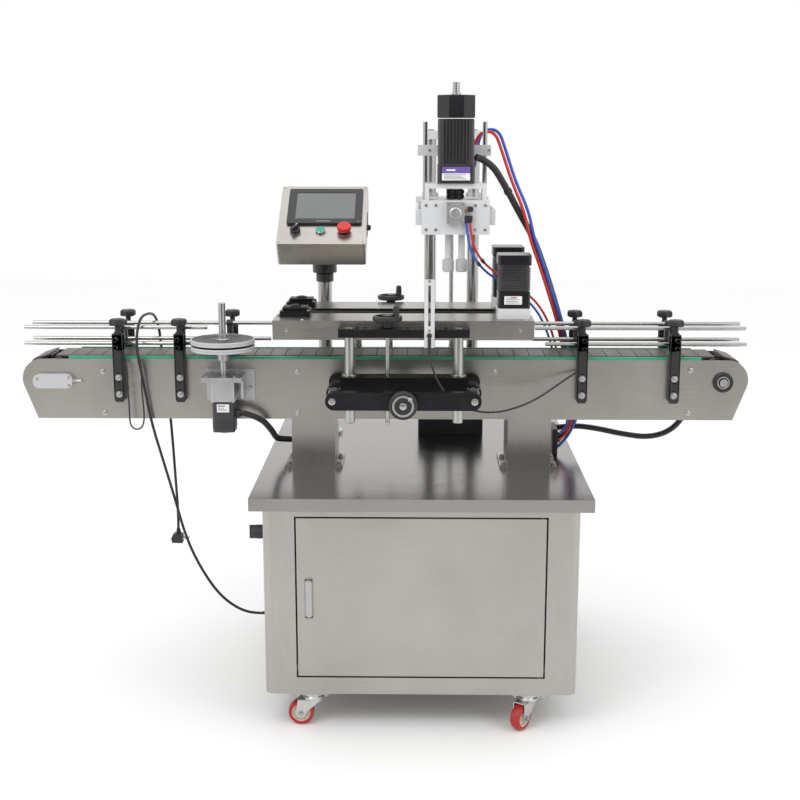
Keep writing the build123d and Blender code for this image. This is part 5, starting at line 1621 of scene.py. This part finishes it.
    def motor(self) -> None:
        """Belt motor: pale gearhead base, black finned body, cap, label and output shaft."""
        name = f"{self.side.label}_belt_motor"
        box = Extent.of(name)
        x, y = box.middle.x, self.across(107)
        base = Extent.of(f"{self.side.label}_belt_cover").z1
        piece = Shape(WHITE)
        piece.prism(Axis.Z, base, 26, rounded(x - 39.5, x + 39.5, y - 39.5, y + 39.5, 5), bevel=1.4)
        piece.corner_screws((x, y), (33, 33), base + 26, 3.4, 3.0)
        piece.use(BLACK_GLOSS).prism(Axis.Z, base + 26, 40, rounded(x - 38, x + 38, y - 38, y + 38, 6),
                bevel=1.4)
        piece.use(MOTOR_BLACK).prism(Axis.Z, base + 67, box.z1 - base - 92,
                rounded(x - 36, x + 36, y - 36, y + 36, 10), bevel=1)
        count = 9
        for index in range(count):
            z = base + 70 + index * (box.z1 - base - 98) / count
            piece.prism(Axis.Z, z, 2.4, rounded(x - 38.5, x + 38.5, y - 38.5, y + 38.5, 9), bevel=0.5)
        piece.use(BLACK_GLOSS).prism(Axis.Z, box.z1 - 25, 25, rounded(x - 40, x + 40, y - 40, y + 40, 8),
                bevel=2.0)
        piece.use(LABEL_WHITE).box(x - 24, x + 18, y - 38.6, y - 37.9, base + 36, base + 56, 0.1)
        piece.use(LABEL_GREY)
        for row in range(4):
            piece.box(x - 21, x + 13 - 5 * (row % 2), y - 38.9, y - 38.5, base + 39 + row * 4,
                    base + 40.4 + row * 4, 0.02)
        piece.use(RED_CAP).box(x - 8, x + 4, y - 38.9, y - 38.5, base + 51.5, base + 54, 0.02)
        piece.use(POLISHED).rod(Axis.Z, (self.motor_x, self.across(self.pulley_offset), 928), 7, base - 928,
                0.4, 24)
        piece.build(f"{self.side.label}_belt_gearmotor", f"{self.side.label}_lift", [name], "black_paint")

    def wheel(self) -> None:
        """Lift hand wheel: screw, hub, spoked rim and crank grip."""
        name = f"{self.side.label}_lift_wheel"
        box = Extent.of(name)
        x, y = 12.0, self.across(self.offset)
        piece = Shape(BLACK_PLASTIC)
        rim = [(27.5, 976), (33, 976), (35.5, 978.5), (35.5, 985.5), (33, 988), (27.5, 988), (26.5, 982),
                (27.5, 976)]
        piece.turned(Axis.Z, (x, y, 0), rim, 0, 72, lobes(24, 0.03))
        piece.turned(Axis.Z, (x, y, 958.4), [(9, 0), (12, 2), (12, 18), (11, 30.6)], 0.8, 32)
        piece.turned(Axis.Z, (x, y, 976), [(28, 0.8), (28, 4), (12, 5.2), (12, 0.8)], 0.3, 48)
        piece.turned(Axis.Z, (x + 21, y - 18, 980), [(5, 0), (6.2, 3), (7.5, 20), (7, 31), (4.5, 35)], 0.3,
                28)
        piece.use(POLISHED).turned(Axis.Z, (x, y, box.z0), [(4, 0), (4.6, 1.5), (4.6, 236)], 0, 24)
        for index in range(40):
            piece.turned(Axis.Z, (x, y, box.z0 + 8 + index * 2.4), [(4.6, 0), (5.0, 0.8), (4.6, 1.6)], 0, 16)
        piece.use(SCREW_STEEL).rod(Axis.Z, (x, y, 989), 4.5, 1.0, 0.3, 20)
        piece.build(f"{self.side.label}_hand_wheel", name, [name], "black_plastic")

    def build(self) -> None:
        """Make and dress this side."""
        self.slide()
        self.lift()
        self.belt()
        self.cover()
        self.motor()
        self.wheel()


@dataclass
class GapDrive:
    """Cross rods, end bars and the gap screw with its graduated dial."""

    centre: Pair = (51.0, 802.0)
    rod_z: float = 806.0
    rod_spread: float = 164.0

    def build(self) -> None:
        """Make and dress the drive."""
        box = Extent.of("slide_rods")
        bars = [(Extent(-1e6, 1e6, box.y0 - 1, box.y0 + 23.6, 0, 1e6), BLACK_ANODISED),
                (Extent(-1e6, 1e6, box.y1 - 23.6, box.y1 + 1, 0, 1e6), BLACK_ANODISED),
                (Extent(-1e6, 1e6, -145.5, -134.5, 0, 1e6), BLACK_ANODISED),
                (Extent(-1e6, 1e6, 6.5, 17.5, 0, 1e6), BLACK_ANODISED)]
        dress("slide_rods", POLISHED, bars)
        ends = Shape(POLISHED)
        for x in (self.centre[0] - self.rod_spread, self.centre[0] + self.rod_spread):
            for y, side in ((box.y0, -1), (box.y1, 1)):
                ends.use(POLISHED).turned(Axis.Y, (x, y, self.rod_z),
                        [(8, 0), (8, side * 1.6), (6.5, side * 2.2), (4, side * 2.2), (3.5, side * 0.8)], 0.2,
                        30)
        for x in (self.centre[0] - 60, self.centre[0] + 60):
            for y, side in ((box.y0, -1), (box.y1, 1)):
                ends.use(DARK_STEEL).cap_screw(Axis.Y, (x, y, self.rod_z), 4.0, side * 2.4)
        ends.build("end_bar_trim")
        dial = Extent.of("gap_dial")
        x, z = self.centre
        piece = Shape(BLACK_PLASTIC)
        front = dial.y0 + 6
        piece.turned(Axis.Y, (x, front, z), [(30, 0), (33, 2.5), (33, 18)], 0.6, 60, lobes(30, 0.025))
        piece.use(POLISHED).turned(Axis.Y, (x, front, z), [(25, 0.6), (25, -1.6), (20, -1.6), (20, 0.6),
                (25, 0.6)], 0.2, 56)
        piece.use(POLISHED).turned(Axis.Y, (x, front - 6, z), [(4, 0), (8, 1.5), (9.5, 7)], 0.4, 32)
        piece.turned(Axis.Y, (x + 16, dial.y0, z + 16), [(2.5, 0), (5, 2), (4.2, 8)], 0.3, 20)
        piece.use(BLACK_ANODISED).turned(Axis.Y, (x, front + 18, z), [(20, 0), (16, 3), (16, 9.6)], 0.5, 36)
        piece.use(POLISHED).rod(Axis.Y, (x, self.screw_start(), z), 7, 634, 0.5, 28)
        piece.build("gap_dial_wheel", "gap_dial", ["gap_dial"], "black_plastic")

    def screw_start(self) -> float:
        """Front end of the gap screw."""
        return -64.0 - 317.0


# ---------------------------------------------------------------- capping head
@dataclass
class CappingHead:
    """Columns, lead screw, carriage, head block, motor, chuck and fingers."""

    x: float = 175.0
    y: float = -64.0
    column_y: float = 270.0
    column_spread: float = 58.5
    guide_spread: float = 74.0
    arm_spread: float = 88.0
    bar_top: float = 1415.0
    arm_top: float = 1226.0

    def columns(self) -> None:
        """Columns on their base, top bar and the lead screw with its wheel."""
        dress("head_columns", POLISHED, [(above(0, 660.5), BLACK), (above(1391.5), WHITE)])
        trim = Shape(POLISHED)
        for x in (self.x - self.column_spread, self.x + self.column_spread):
            trim.use(BLACK_ANODISED).ring(Axis.Z, (x, self.column_y, 660), 24, 16.2, 12, 1.0, 40)
            trim.use(POLISHED).turned(Axis.Z, (x, self.column_y, self.bar_top),
                    [(10, 0), (10, 3), (5, 3.2), (4.6, 1.2)], 0.3, 6)
        trim.build("column_trim")
        screw = Shape(POLISHED)
        box = Extent.of("lift_screw")
        base = (self.x, self.column_y, box.z0)
        screw.turned(Axis.Z, base, [(5.2, 0), (5.2, self.bar_top - box.z0)], 0.4, 24)
        for index in range(150):
            screw.turned(Axis.Z, (self.x, self.column_y, box.z0 + 32 + index * 4.9),
                    [(5.2, 0), (6.0, 1.3), (6.0, 2.3), (5.2, 3.6)], 0, 16)
        screw.use(BLACK_PLASTIC).turned(Axis.Z, (self.x, self.column_y, 0),
                [(28, 1425), (33, 1425), (36, 1427.5), (36, 1434.5), (33, 1437), (28, 1437), (27, 1431),
                (28, 1425)], 0, 72, lobes(24, 0.03))
        screw.turned(Axis.Z, (self.x, self.column_y, 1415.5), [(14, 0), (14, 10), (28, 10.4), (28, 13.5),
                (14, 15), (14, 19), (12, 21.4)], 0.4, 40)
        screw.build("lead_screw", "lift_screw", ["lift_screw"], "polished_steel")

    def carriage(self) -> None:
        """White carriage with its arms, cross plate and air cylinder."""
        cylinder = Extent(self.x - 21, self.x + 21, 13, 55, 1226.2, 1400)
        dress("carriage", WHITE, [(cylinder, ANODISED)])
        piece = Shape(SCREW_STEEL)
        for x in (self.x - self.arm_spread, self.x + self.arm_spread):
            for y in (-60, 20, 120, 210):
                piece.use(SCREW_STEEL).cap_screw(Axis.Z, (x, y, self.arm_top), 4.2, 3.0)
        for x in (self.x - self.column_spread, self.x + self.column_spread):
            piece.use(ANODISED).ring(Axis.Z, (x, self.column_y, 1240), 22, 16.3, 10, 0.8, 40)
        piece.use(WHITE)
        for x in (self.x - 30, self.x + 30):
            piece.cap_screw(Axis.Y, (x, 240, 1205), 5.0, -3.0)
        top = Extent.of("carriage").z1
        piece.use(ANODISED).box(self.x - 21, self.x + 21, 13, 55, top - 12, top + 0.8, 1.2)
        piece.box(self.x - 21, self.x + 21, 13, 55, self.arm_top, 1238, 1.2)
        piece.use(BLACK_PLASTIC)
        for y in (24, 44):
            piece.turned(Axis.X, (self.x + 19, y, 1290), [(6.5, 0), (6.5, 3), (5.4, 3.4), (5.4, 5.5),
                    (4.2, 6)], 0.2, 20)
        piece.build("carriage_trim", "carriage")

    def head(self) -> None:
        """White head block with screws, coupling window, die-cast valve and fittings."""
        box = Extent.of("head_block")
        valve = Extent(self.x - 23, self.x + 22, -125, -106.2, 1190, 1250)
        rods = [(Extent(x - 6.5, x + 6.5, -12, 2, 1180.5, 1440), POLISHED)
                for x in (self.x - self.guide_spread, self.x + self.guide_spread)]
        dress("head_block", WHITE, [*rods, (Extent(self.x - 94, self.x + 90, -16, 6, 1353.5, 1380.5), WHITE),
                (valve, ALUMINIUM)])
        piece = Shape(SCREW_STEEL)
        for x in (self.x - 72, self.x - 48, self.x + 48, self.x + 72):
            for z in (1178, 1237):
                piece.use(SCREW_STEEL).cap_screw(Axis.Y, (x, box.y0 + 18, z), 3.4, -2.4)
        for x in (self.x - self.guide_spread, self.x + self.guide_spread):
            piece.use(SCREW_STEEL).cap_screw(Axis.Y, (x + 10, -15, 1367), 3.0, -2.2)
            piece.use(POLISHED).turned(Axis.Z, (x, -5, 1436), [(5.4, 0), (4.4, 0.8)], 0, 24)
        face = valve.y0 + 1
        piece.use(ALUMINIUM)
        piece.turned(Axis.Y, (self.x - 1, face + 0.6, 1219), [(15, 0), (15, -4), (11, -6), (11, -3), (5, -3),
                (4, -7)], 0.3, 32)
        for sx in (-17, 15):
            for z in (1198, 1240):
                piece.use(SCREW_STEEL).cap_screw(Axis.Y, (self.x + sx, face + 0.2, z), 2.6, -1.8)
        for x in (self.x + 35, self.x + 26):
            piece.use(BLACK_PLASTIC).turned(Axis.Z, (x, -116, 1196), [(4.2, 0), (5.2, 3), (5.2, 10),
                    (3.5, 13)], 0.3, 20)
        piece.use(BLACK_PLASTIC).box(self.x + 19, self.x + 41, -122, -110, 1203, 1213, 2.0)
        piece.use(BRASS).turned(Axis.X, (self.x + 18, -116, 1228), [(5.5, 0), (5.5, 5), (4, 6), (4, 12)], 0.3,
                6)
        piece.use(BLACK_PLASTIC).box(self.x + 28, self.x + 42, -122, -110, 1222, 1235, 2.5)
        piece.build("head_trim", "head")

    def motor(self) -> None:
        """Gearhead, flange, label, ribbed body, fan cap and tail shaft."""
        box = Extent.of("capping_motor")
        x, y = self.x, self.y
        piece = Shape(MOTOR_BLACK)
        piece.prism(Axis.Z, box.z0, 47, rounded(x - 45, x + 45, y - 45, y + 45, 7), bevel=1.4)
        piece.use(LABEL_WHITE).box(x - 34, x + 34, y - 45.9, y - 44.9, box.z0 + 8, box.z0 + 40, 0.1)
        piece.use(LABEL_VIOLET).box(x - 34, x + 34, y - 46.2, y - 45.7, box.z0 + 25, box.z0 + 40, 0.05)
        piece.use(LABEL_WHITE).box(x - 24, x - 2, y - 46.4, y - 46.1, box.z0 + 30.5, box.z0 + 34.5, 0.02)
        piece.use(LABEL_GREY)
        for row in range(4):
            piece.box(x - 29, x + 24 - 6 * (row % 3), y - 46.2, y - 45.8, box.z0 + 11 + row * 3.3,
                    box.z0 + 12.2 + row * 3.3, 0.02)
        piece.use(MOTOR_BLACK).prism(Axis.Z, box.z0 + 47, 107, rounded(x - 39, x + 39, y - 39, y + 39, 16),
                bevel=0.8)
        for side in range(4):
            turn = Matrix.Translation((x, y, 0)) @ Matrix.Rotation(side * math.pi / 2, 4, "Z")
            ribs = Shape(MOTOR_BLACK)
            for index in range(7):
                u = -24 + index * 8
                ribs.box(u - 1.6, u + 1.6, -44, -38, box.z0 + 52, box.z0 + 152, 0.6)
            piece.join(ribs, turn)
        for sx in (-1, 1):
            for sy in (-1, 1):
                piece.use(MOTOR_BLACK).turned(Axis.Z, (x + sx * 35, y + sy * 35, box.z0 + 47),
                        [(8, 0), (8, 107)], 0.6, 24)
                piece.use(SCREW_STEEL).cap_screw(Axis.Z, (x + sx * 37, y + sy * 37, box.z0), 3.5, -2.0)
        piece.use(BLACK_GLOSS).prism(Axis.Z, 1445, 54, circle(x, y, 49.5, 8, math.pi / 8), bevel=2.5)
        for index in range(10):
            angle = 2 * math.pi * index / 10
            piece.use(DARK_STEEL).box(x + 28 * math.cos(angle) - 2, x + 28 * math.cos(angle) + 2,
                    y + 28 * math.sin(angle) - 2, y + 28 * math.sin(angle) + 2, 1498.5, 1500, 0.3)
        piece.use(POLISHED).turned(Axis.Z, (x, y, 1499), [(13, 0), (13, 4), (9, 5), (9, box.z1 - 1500),
                (7.6, box.z1 - 1499)], 0.3, 32)
        piece.build("capping_gearmotor", "head", ["capping_motor"], "black_paint")

    def chuck(self) -> None:
        """Spindle with its coupling and chuck, and the two gripping fingers."""
        box = Extent.of("spindle")
        piece = Shape(POLISHED)
        base = (self.x, self.y, 0.0)
        piece.rod(Axis.Z, (self.x, self.y, box.z1 - 50), 8, 50, 0.5, 28)
        piece.use(BLACK_ANODISED).turned(Axis.Z, base, [(20, 1251), (22, 1252.5), (22, 1260), (20, 1261),
                (20, 1263), (22, 1264), (22, 1272), (20.5, 1273)], 0.2, 40)
        piece.use(POLISHED).turned(Axis.Z, base, [(34, 1180), (36, 1182), (36, 1212), (33, 1214), (8, 1214),
                (8, 1251)], 0.4, 48)
        piece.build("chuck", "spindle", ["spindle"], "polished_steel")
        for name, sign in (("left", -1), ("right", 1)):
            x = self.x + sign * 16.5
            finger = Shape(POLISHED)
            x0, x1 = sorted((self.x + sign * 3.2, self.x + sign * 30))
            finger.box(x0, x1, self.y - 9, self.y + 9, 1168, 1179.6, 1.5)
            finger.use(WHITE).turned(Axis.Z, (x, self.y, 1103), [(7, 0), (8.2, 2), (8.2, 65)], 0.3, 32)
            finger.use(PALE_GREY).turned(Axis.Z, (x, self.y, 1071), [(10, 0), (13.4, 1), (14.5, 5),
                    (14.5, 28), (12.5, 31), (8.3, 33)], 0.2, 40)
            finger.build(f"{name}_finger", f"finger_{name}", [f"finger_{name}"], "black_plastic")

    def build(self) -> None:
        """Make and dress the head."""
        self.columns()
        self.carriage()
        self.head()
        self.motor()
        self.chuck()


# ---------------------------------------------------------------- operator panel
@dataclass
class OperatorPanel:
    """Tilted panel with a display and three controls, on a round pole."""

    centre: Point = (-172.0, 213.0, 1194.0)
    tilt: float = 34.0
    pole: Pair = (-172.0, 250.0)
    row: float = -72.0
    spots: dict[str, float] = field(default_factory=lambda: {"selector": -70.0, "start_button": -3.0,
            "emergency_stop": 60.0})

    def face(self) -> Matrix:
        """Frame of the panel's face: X to the right, Y up the slope, Z out of it."""
        out = math.radians(self.tilt)
        return Matrix(((1, 0, 0, self.centre[0]), (0, math.cos(out), -math.sin(out), self.centre[1]),
                (0, math.sin(out), math.cos(out), self.centre[2]), (0, 0, 0, 1)))

    def display(self) -> None:
        """Box finish, bezel, glass, a pale dot and a printed strip."""
        place = self.face()
        dress("panel_box", STEEL, [(Extent(-1e6, 1e6, 216.5, 283.5, 1030, 1061.4), BLACK),])
        piece = Shape(BLACK_PLASTIC, place)
        x0, x1, y0, y1 = -95.4, 105.4, -45.4, 105.4
        piece.prism(Axis.Z, 0.2, 6.6, rounded(x0, x1, y0, y1, 6), [rounded(x0 + 22, x1 - 20, y0 + 20, y1 - 18,
                2)], 0.9)
        piece.use(GLASS).box(x0 + 21, x1 - 19, y0 + 19, y1 - 17, 3.0, 5.8, 0.2)
        piece.use(PALE_GREY).turned(Axis.Z, (x1 - 10, y0 + 9, 6.6), [(1.6, 0), (1.6, 0.4)], 0, 16)
        piece.use(LABEL_GREY).box(-16, 22, y0 + 7, y0 + 11, 6.6, 6.9, 0.05)
        piece.build("display", "panel")

    def surrounds(self) -> None:
        """Chrome rings, a black side fitting and the corner screws on the face."""
        place = self.face()
        piece = Shape(SCREW_STEEL, place)
        for name, x in self.spots.items():
            outer, inner = {"selector": (15.4, 11.2), "start_button": (16.6, 13.6),
                    "emergency_stop": (20.0, 11.2)}[name]
            piece.ring(Axis.Z, (x, self.row, 0), outer, inner, 1.2, 0.3, 40)
        piece.use(BLACK_PLASTIC)
        right = 117.5
        piece.box(right - 0.2, right + 1.6, -30, 40, -52, -22, 0.8)
        piece.turned(Axis.X, (right + 1.4, -8, -38), [(8, 0), (8, 3), (6.5, 8), (4, 9)], 0.3, 28)
        for x in (-110, 110):
            for y in (-117, 117):
                piece.use(SCREW_STEEL).turned(Axis.Z, (x, y, 0), [(3, 0), (2.6, 0.9), (1.2, 1.3), (1.0, 0.6)],
                        0, 18)
        piece.build("panel_trim", "panel")

    def controls(self) -> None:
        """Selector knob, start button and emergency stop."""
        place = self.face()
        selector = Shape(BLACK_PLASTIC, place)
        x = self.spots["selector"]
        selector.turned(Axis.Z, (x, self.row, -25), [(10.4, 0), (10.4, 26), (14, 27), (14, 34), (12.6, 35)],
                0.3, 48)
        lever = Shape(BLACK_PLASTIC)
        lever.prism(Axis.Z, 9.5, 10.3, slot_outline(-13, 13, -4, 4), bevel=1.2)
        lever.use(LABEL_WHITE).box(4, 12, -0.6, 0.6, 19.6, 20.0, 0.05)
        selector.join(lever, Matrix.Translation((x, self.row, 0)) @ Matrix.Rotation(math.radians(60), 4, "Z"))
        selector.build("selector_knob", "selector", ["selector"], "black_plastic")
        x = self.spots["start_button"]
        start = Shape(SCREW_STEEL, place)
        start.turned(Axis.Z, (x, self.row, -25), [(10.4, 0), (10.4, 27), (13, 27.6), (13, 31), (11.6, 32)],
                0.2, 48)
        start.use(GREEN_CAP).turned(Axis.Z, (x, self.row, 7), [(11.4, -0.5), (11.2, 0.6), (7, 1.0),
                (0.5, 1.05)], 0, 48)
        start.build("start_cap", "start_button", ["start_button"], "green_button")
        x = self.spots["emergency_stop"]
        stop = Shape(BLACK_PLASTIC, place)
        stop.turned(Axis.Z, (x, self.row, -25), [(10.4, 0), (10.4, 32)], 0.3, 40)
        stop.use(RED_CAP).turned(Axis.Z, (x, self.row, 7), [(12, 0), (18, 1), (19, 4), (19, 9), (17.5, 12.4),
                (12, 13.8), (0.5, 14)], 0.2, 56)
        stop.build("stop_cap", "emergency_stop", ["emergency_stop"], "red_button")

    def build(self) -> None:
        """Make and dress the panel and its pole."""
        dress("panel_pole", POLISHED)
        x, y = self.pole
        collar = Shape(BLACK)
        collar.turned(Axis.Z, (x, y, 1009), [(19.3, 0), (24, 2), (24, 22), (21, 25.8)], 0.4, 40)
        for k in range(4):
            angle = math.pi * (k + 0.5) / 2
            collar.use(SCREW_STEEL).hex_bolt(Axis.Z, (x + 34 * math.cos(angle), y + 34 * math.sin(angle),
                    592), 9, 5)
        collar.build("pole_collar")
        self.display()
        self.surrounds()
        self.controls()


# ---------------------------------------------------------------- cords
ENTRY_X = 450.0
MAINS = Run("mains_lead", [(-292.5, -100, 182), (-338, -103, 180), (-385, -110, 198), (-432, -118, 242),
        (-475, -125, 316), (-508, -130, 398), (-531, -135, 500), (-556, -142, 604), (-581, -148, 706),
        (-596, -152, 811), (-608, -154, 884), (-609, -138, 932), (-604, -112, 962), (-597, -64, 965),
        (-590, -18, 957), (-587, 18, 924), (-585, 30, 872), (-577, 28, 775), (-567, 24, 690), (-563, 27, 600),
        (-559, 24, 505), (-556, 26, 425), (-557, 26, 372)], 7.0, JACKET)
LEFT_SENSOR = Run("left_sensor_lead", [(-640.6, -150, 905), (-624, -158, 912), (-604, -165, 892),
        (-595, -166, 850), (-597, -167, 790), (-593, -168, 740), (-594, -168, 706), (-603, -168, 690),
        (-621, -168, 690), (-630, -168, 706), (-629, -168, 745), (-632, -166, 795), (-631, -161, 838),
        (-639.5, -150, 862)], 4.0, JACKET)
BELT_SENSOR = Run("belt_sensor_lead", [(111, -277.5, 914.2), (113, -283, 892), (120, -293, 862),
        (138, -304, 825), (166, -311, 796), (202, -315, 776), (240, -313, 767), (280, -300, 766),
        (322, -276, 772), (366, -242, 783), (408, -207, 802), (446, -170, 820), (472, -150, 832)], 5.0,
        JACKET)
DISC_CONDUIT = Run("disc_conduit", [(-348, -180, 735), (-305, -177, 724), (-281, -133, 680), (-277, -74, 645),
        (-266, -14, 629), (-243, 38, 615), (-194, 58, 610)], 16.0, JACKET, Jacket.RIBBED)
HEAD_CONDUIT = Run("head_conduit", [(224, -58, 1352), (261, -45, 1340), (298, -12, 1284), (338, 10, 1213),
        (376, 26, 1150), (404, 38, 1080), (430, 46, 1005), (454, 55, 930), (476, 60, 850), (493, 60, 775),
        (502, 58, 705), (495, 54, 645), (ENTRY_X + 5, 50, 618)], 18.0, JACKET, Jacket.RIBBED)
DRIVE_CONDUIT = Run("drive_conduit", [(ENTRY_X + 1.5, 78, 640), (498, 76, 647), (560, 72, 640),
        (628, 70, 625), (700, 68, 616), (760, 68, 636), (798, 69, 690), (811, 70, 759)], 16.0, JACKET,
        Jacket.RIBBED)
RED_TUBE = Run("red_air_tube", [(198.5, 24, 1290), (220, 23, 1306), (222, 21, 1362), (234, 17, 1410),
        (274, 13, 1414), (292, 8, 1366), (317, -2, 1291), (350, -8, 1216), (367, 9, 1146), (394, 22, 1078),
        (420, 31, 1003), (445, 40, 928), (463, 46, 850), (480, 46, 775), (489, 42, 705), (480, 36, 645),
        (ENTRY_X + 3, 30, 612)], 8.0, RED_HOSE)
BLUE_TUBE = Run("blue_air_tube", [(198.5, 44, 1290), (224, 42, 1308), (230, 36, 1364), (242, 30, 1416),
        (284, 24, 1419), (302, 14, 1368), (327, 4, 1291), (361, -4, 1218), (377, 9, 1149), (404, 22, 1080),
        (430, 31, 1004), (455, 40, 929), (473, 46, 851), (490, 46, 775), (499, 42, 702), (491, 36, 634),
        (ENTRY_X + 3, 20, 603)], 8.0, BLUE_HOSE)
FRONT_RED = Run("front_red_tube", [(210, -116, 1196), (213, -116, 1160), (228, -112, 1118), (262, -94, 1080),
        (312, -64, 1048), (362, -34, 1012), (400, -12, 970), (428, 8, 912), (446, 24, 848), (462, 32, 790),
        (478, 33, 732), (487, 27, 681), (480, 20, 640), (ENTRY_X + 2, 12, 622)], 6.0, RED_HOSE)
FRONT_BLUE = Run("front_blue_tube", [(201, -116, 1196), (204, -119, 1158), (218, -117, 1112),
        (252, -100, 1072), (302, -72, 1040), (352, -42, 1004), (390, -18, 963), (418, 2, 905), (437, 18, 842),
        (452, 26, 786), (468, 26, 728), (476, 18, 684), (472, 12, 655), (ENTRY_X + 3, 10, 638)], 6.0,
        BLUE_HOSE)


class Cords:
    """All cables, conduits and air tubes."""

    def plug(self) -> bpy.types.Object:
        """Moulded mains plug at the end of the lead."""
        box = Extent.of("mains_plug")
        x, y, _ = MAINS.route[-1]
        piece = Shape(BLACK_PLASTIC)
        piece.turned(Axis.Z, (x, y, box.z1 - 15), [(7.4, 0), (6.6, 3), (5.8, 9), (4.6, 15)], 0.2, 28)
        for index in range(4):
            piece.ring(Axis.Z, (x, y, box.z1 - 13 + index * 3), 6.6 - index * 0.5, 4.0, 1.4, 0.3, 24)
        piece.prism(Axis.Y, y - 12, 24, [(x - 17, box.z0 + 1), (x + 12, box.z0), (x + 12, box.z0 + 22),
                (x + 7, box.z0 + 26), (x - 13, box.z0 + 26), (x - 19, box.z0 + 14)], bevel=2.4)
        for side in (-1, 1):
            piece.use(SCREW_STEEL).turned(Axis.X, (x + 11, y + side * 6, box.z0 + 13),
                    [(2.2, 0), (2.2, box.x1 - x - 12.5), (1.5, box.x1 - x - 11)], 0.2, 20)
        return piece.build("mains_plug_body", "root", ["mains_plug"], "black_plastic")

    def fixed(self, run: Run, node: str,
            fittings: Sequence[bpy.types.Object] = ()) -> None:
        """Make a cable whose two ends stay still.

        Args:
            run: The cable.
            node: CAD node that it stands for.
            fittings: Not used.
        """
        points = run.line()
        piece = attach(run.piece(points), "root")
        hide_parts(node)

    def lifted(self, run: Run, node: str) -> None:
        """Make a tube that hangs from the carriage down to the table.

        Args:
            run: The tube, listed from its upper end.
            node: CAD node that it stands for.
        """
        points = run.line()[::-1]
        piece = run.piece(points)
        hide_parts(node)
        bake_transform(piece)

    def halved(self, run: Run, node: str, middle: str, split: float = 0.16) -> None:
        """Make a cable from a part on two joints down to the table, in two lengths that meet at a clip.

        Args:
            run: The cable, listed from its moving end.
            node: CAD node that it stands for.
            middle: Body that carries the clip.
            split: Share of its length up to the clip.
        """
        points = run.line()
        cut = int(len(points) * split)
        upper, lower = points[:cut + 1], points[cut:][::-1]
        clip = self.clip(run, upper[-1], (upper[-1] - upper[-2]).normalized(), middle)
        piece = run.piece(upper, "_upper")
        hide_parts(node)
        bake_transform(piece)
        piece = run.piece(lower, "_lower")
        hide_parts(node)
        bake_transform(piece)

    def clip(self, run: Run, spot: Vector, along: Vector, body: str) -> bpy.types.Object:
        """Band round the cable where its two lengths meet."""
        r = run.diameter / 2
        band = Shape(BLACK_PLASTIC, Matrix.Translation(spot) @ along.to_track_quat("Z",
                "Y").to_matrix().to_4x4())
        band.ring(Axis.Z, (0, 0, -5), r + 1.4, r - 0.6, 10, 0.5, 28)
        band.box(r, r + 4, -2.5, 2.5, -3.5, 3.5, 0.8)
        return band.build(run.name + "_clip", body)

    def ties(self) -> None:
        """White ties that bundle the tubes beside the head."""
        tie = Shape(TIE_WHITE)
        for x, y, z, r in ((352, 4, 1203, 23), (436, 44, 962, 21)):
            place = Matrix.Translation((x, y, z)) @ Matrix.Rotation(math.radians(28), 4, "Y")
            ring = Shape(TIE_WHITE)
            ring.ring(Axis.Z, (0, 0, -2.2), r, r - 1.4, 4.4, 0.4, 40)
            ring.box(r - 1, r + 5, -3, 3, -3, 3, 0.8)
            tie.join(ring, place)
        piece = tie.raw("tube_ties")
        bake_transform(piece)

    def build(self) -> None:
        """Make every cord."""
        self.fixed(MAINS, "mains_cord", [self.plug()])
        for run in (LEFT_SENSOR, DISC_CONDUIT, DRIVE_CONDUIT):
            self.fixed(run, "cables_and_conduits")
        self.halved(BELT_SENSOR, "cables_and_conduits", "front_slide", 0.27)
        self.halved(HEAD_CONDUIT, "cables_and_conduits", "carriage")
        self.lifted(RED_TUBE, "air_tubes")
        self.lifted(BLUE_TUBE, "air_tubes")
        self.halved(FRONT_RED, "air_tubes", "carriage")
        self.halved(FRONT_BLUE, "air_tubes", "carriage")


def main() -> None:
    """Build the machine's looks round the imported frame."""
    logging.basicConfig(level=logging.INFO, format="%(message)s")
    bpy.ops.wm.read_factory_settings(use_empty=True)
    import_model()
    for assembly in (Studio(), Cords(), Cabinet(), Castors(), Conveyor(), GuideRails(), SpacingDisc(),
            GapDrive(), BeltClamp(Side.FRONT), BeltClamp(Side.REAR), CappingHead(), OperatorPanel()):
        assembly.build()
        LOG.info("built %s", type(assembly).__name__)


if __name__ == "__main__":
    main()
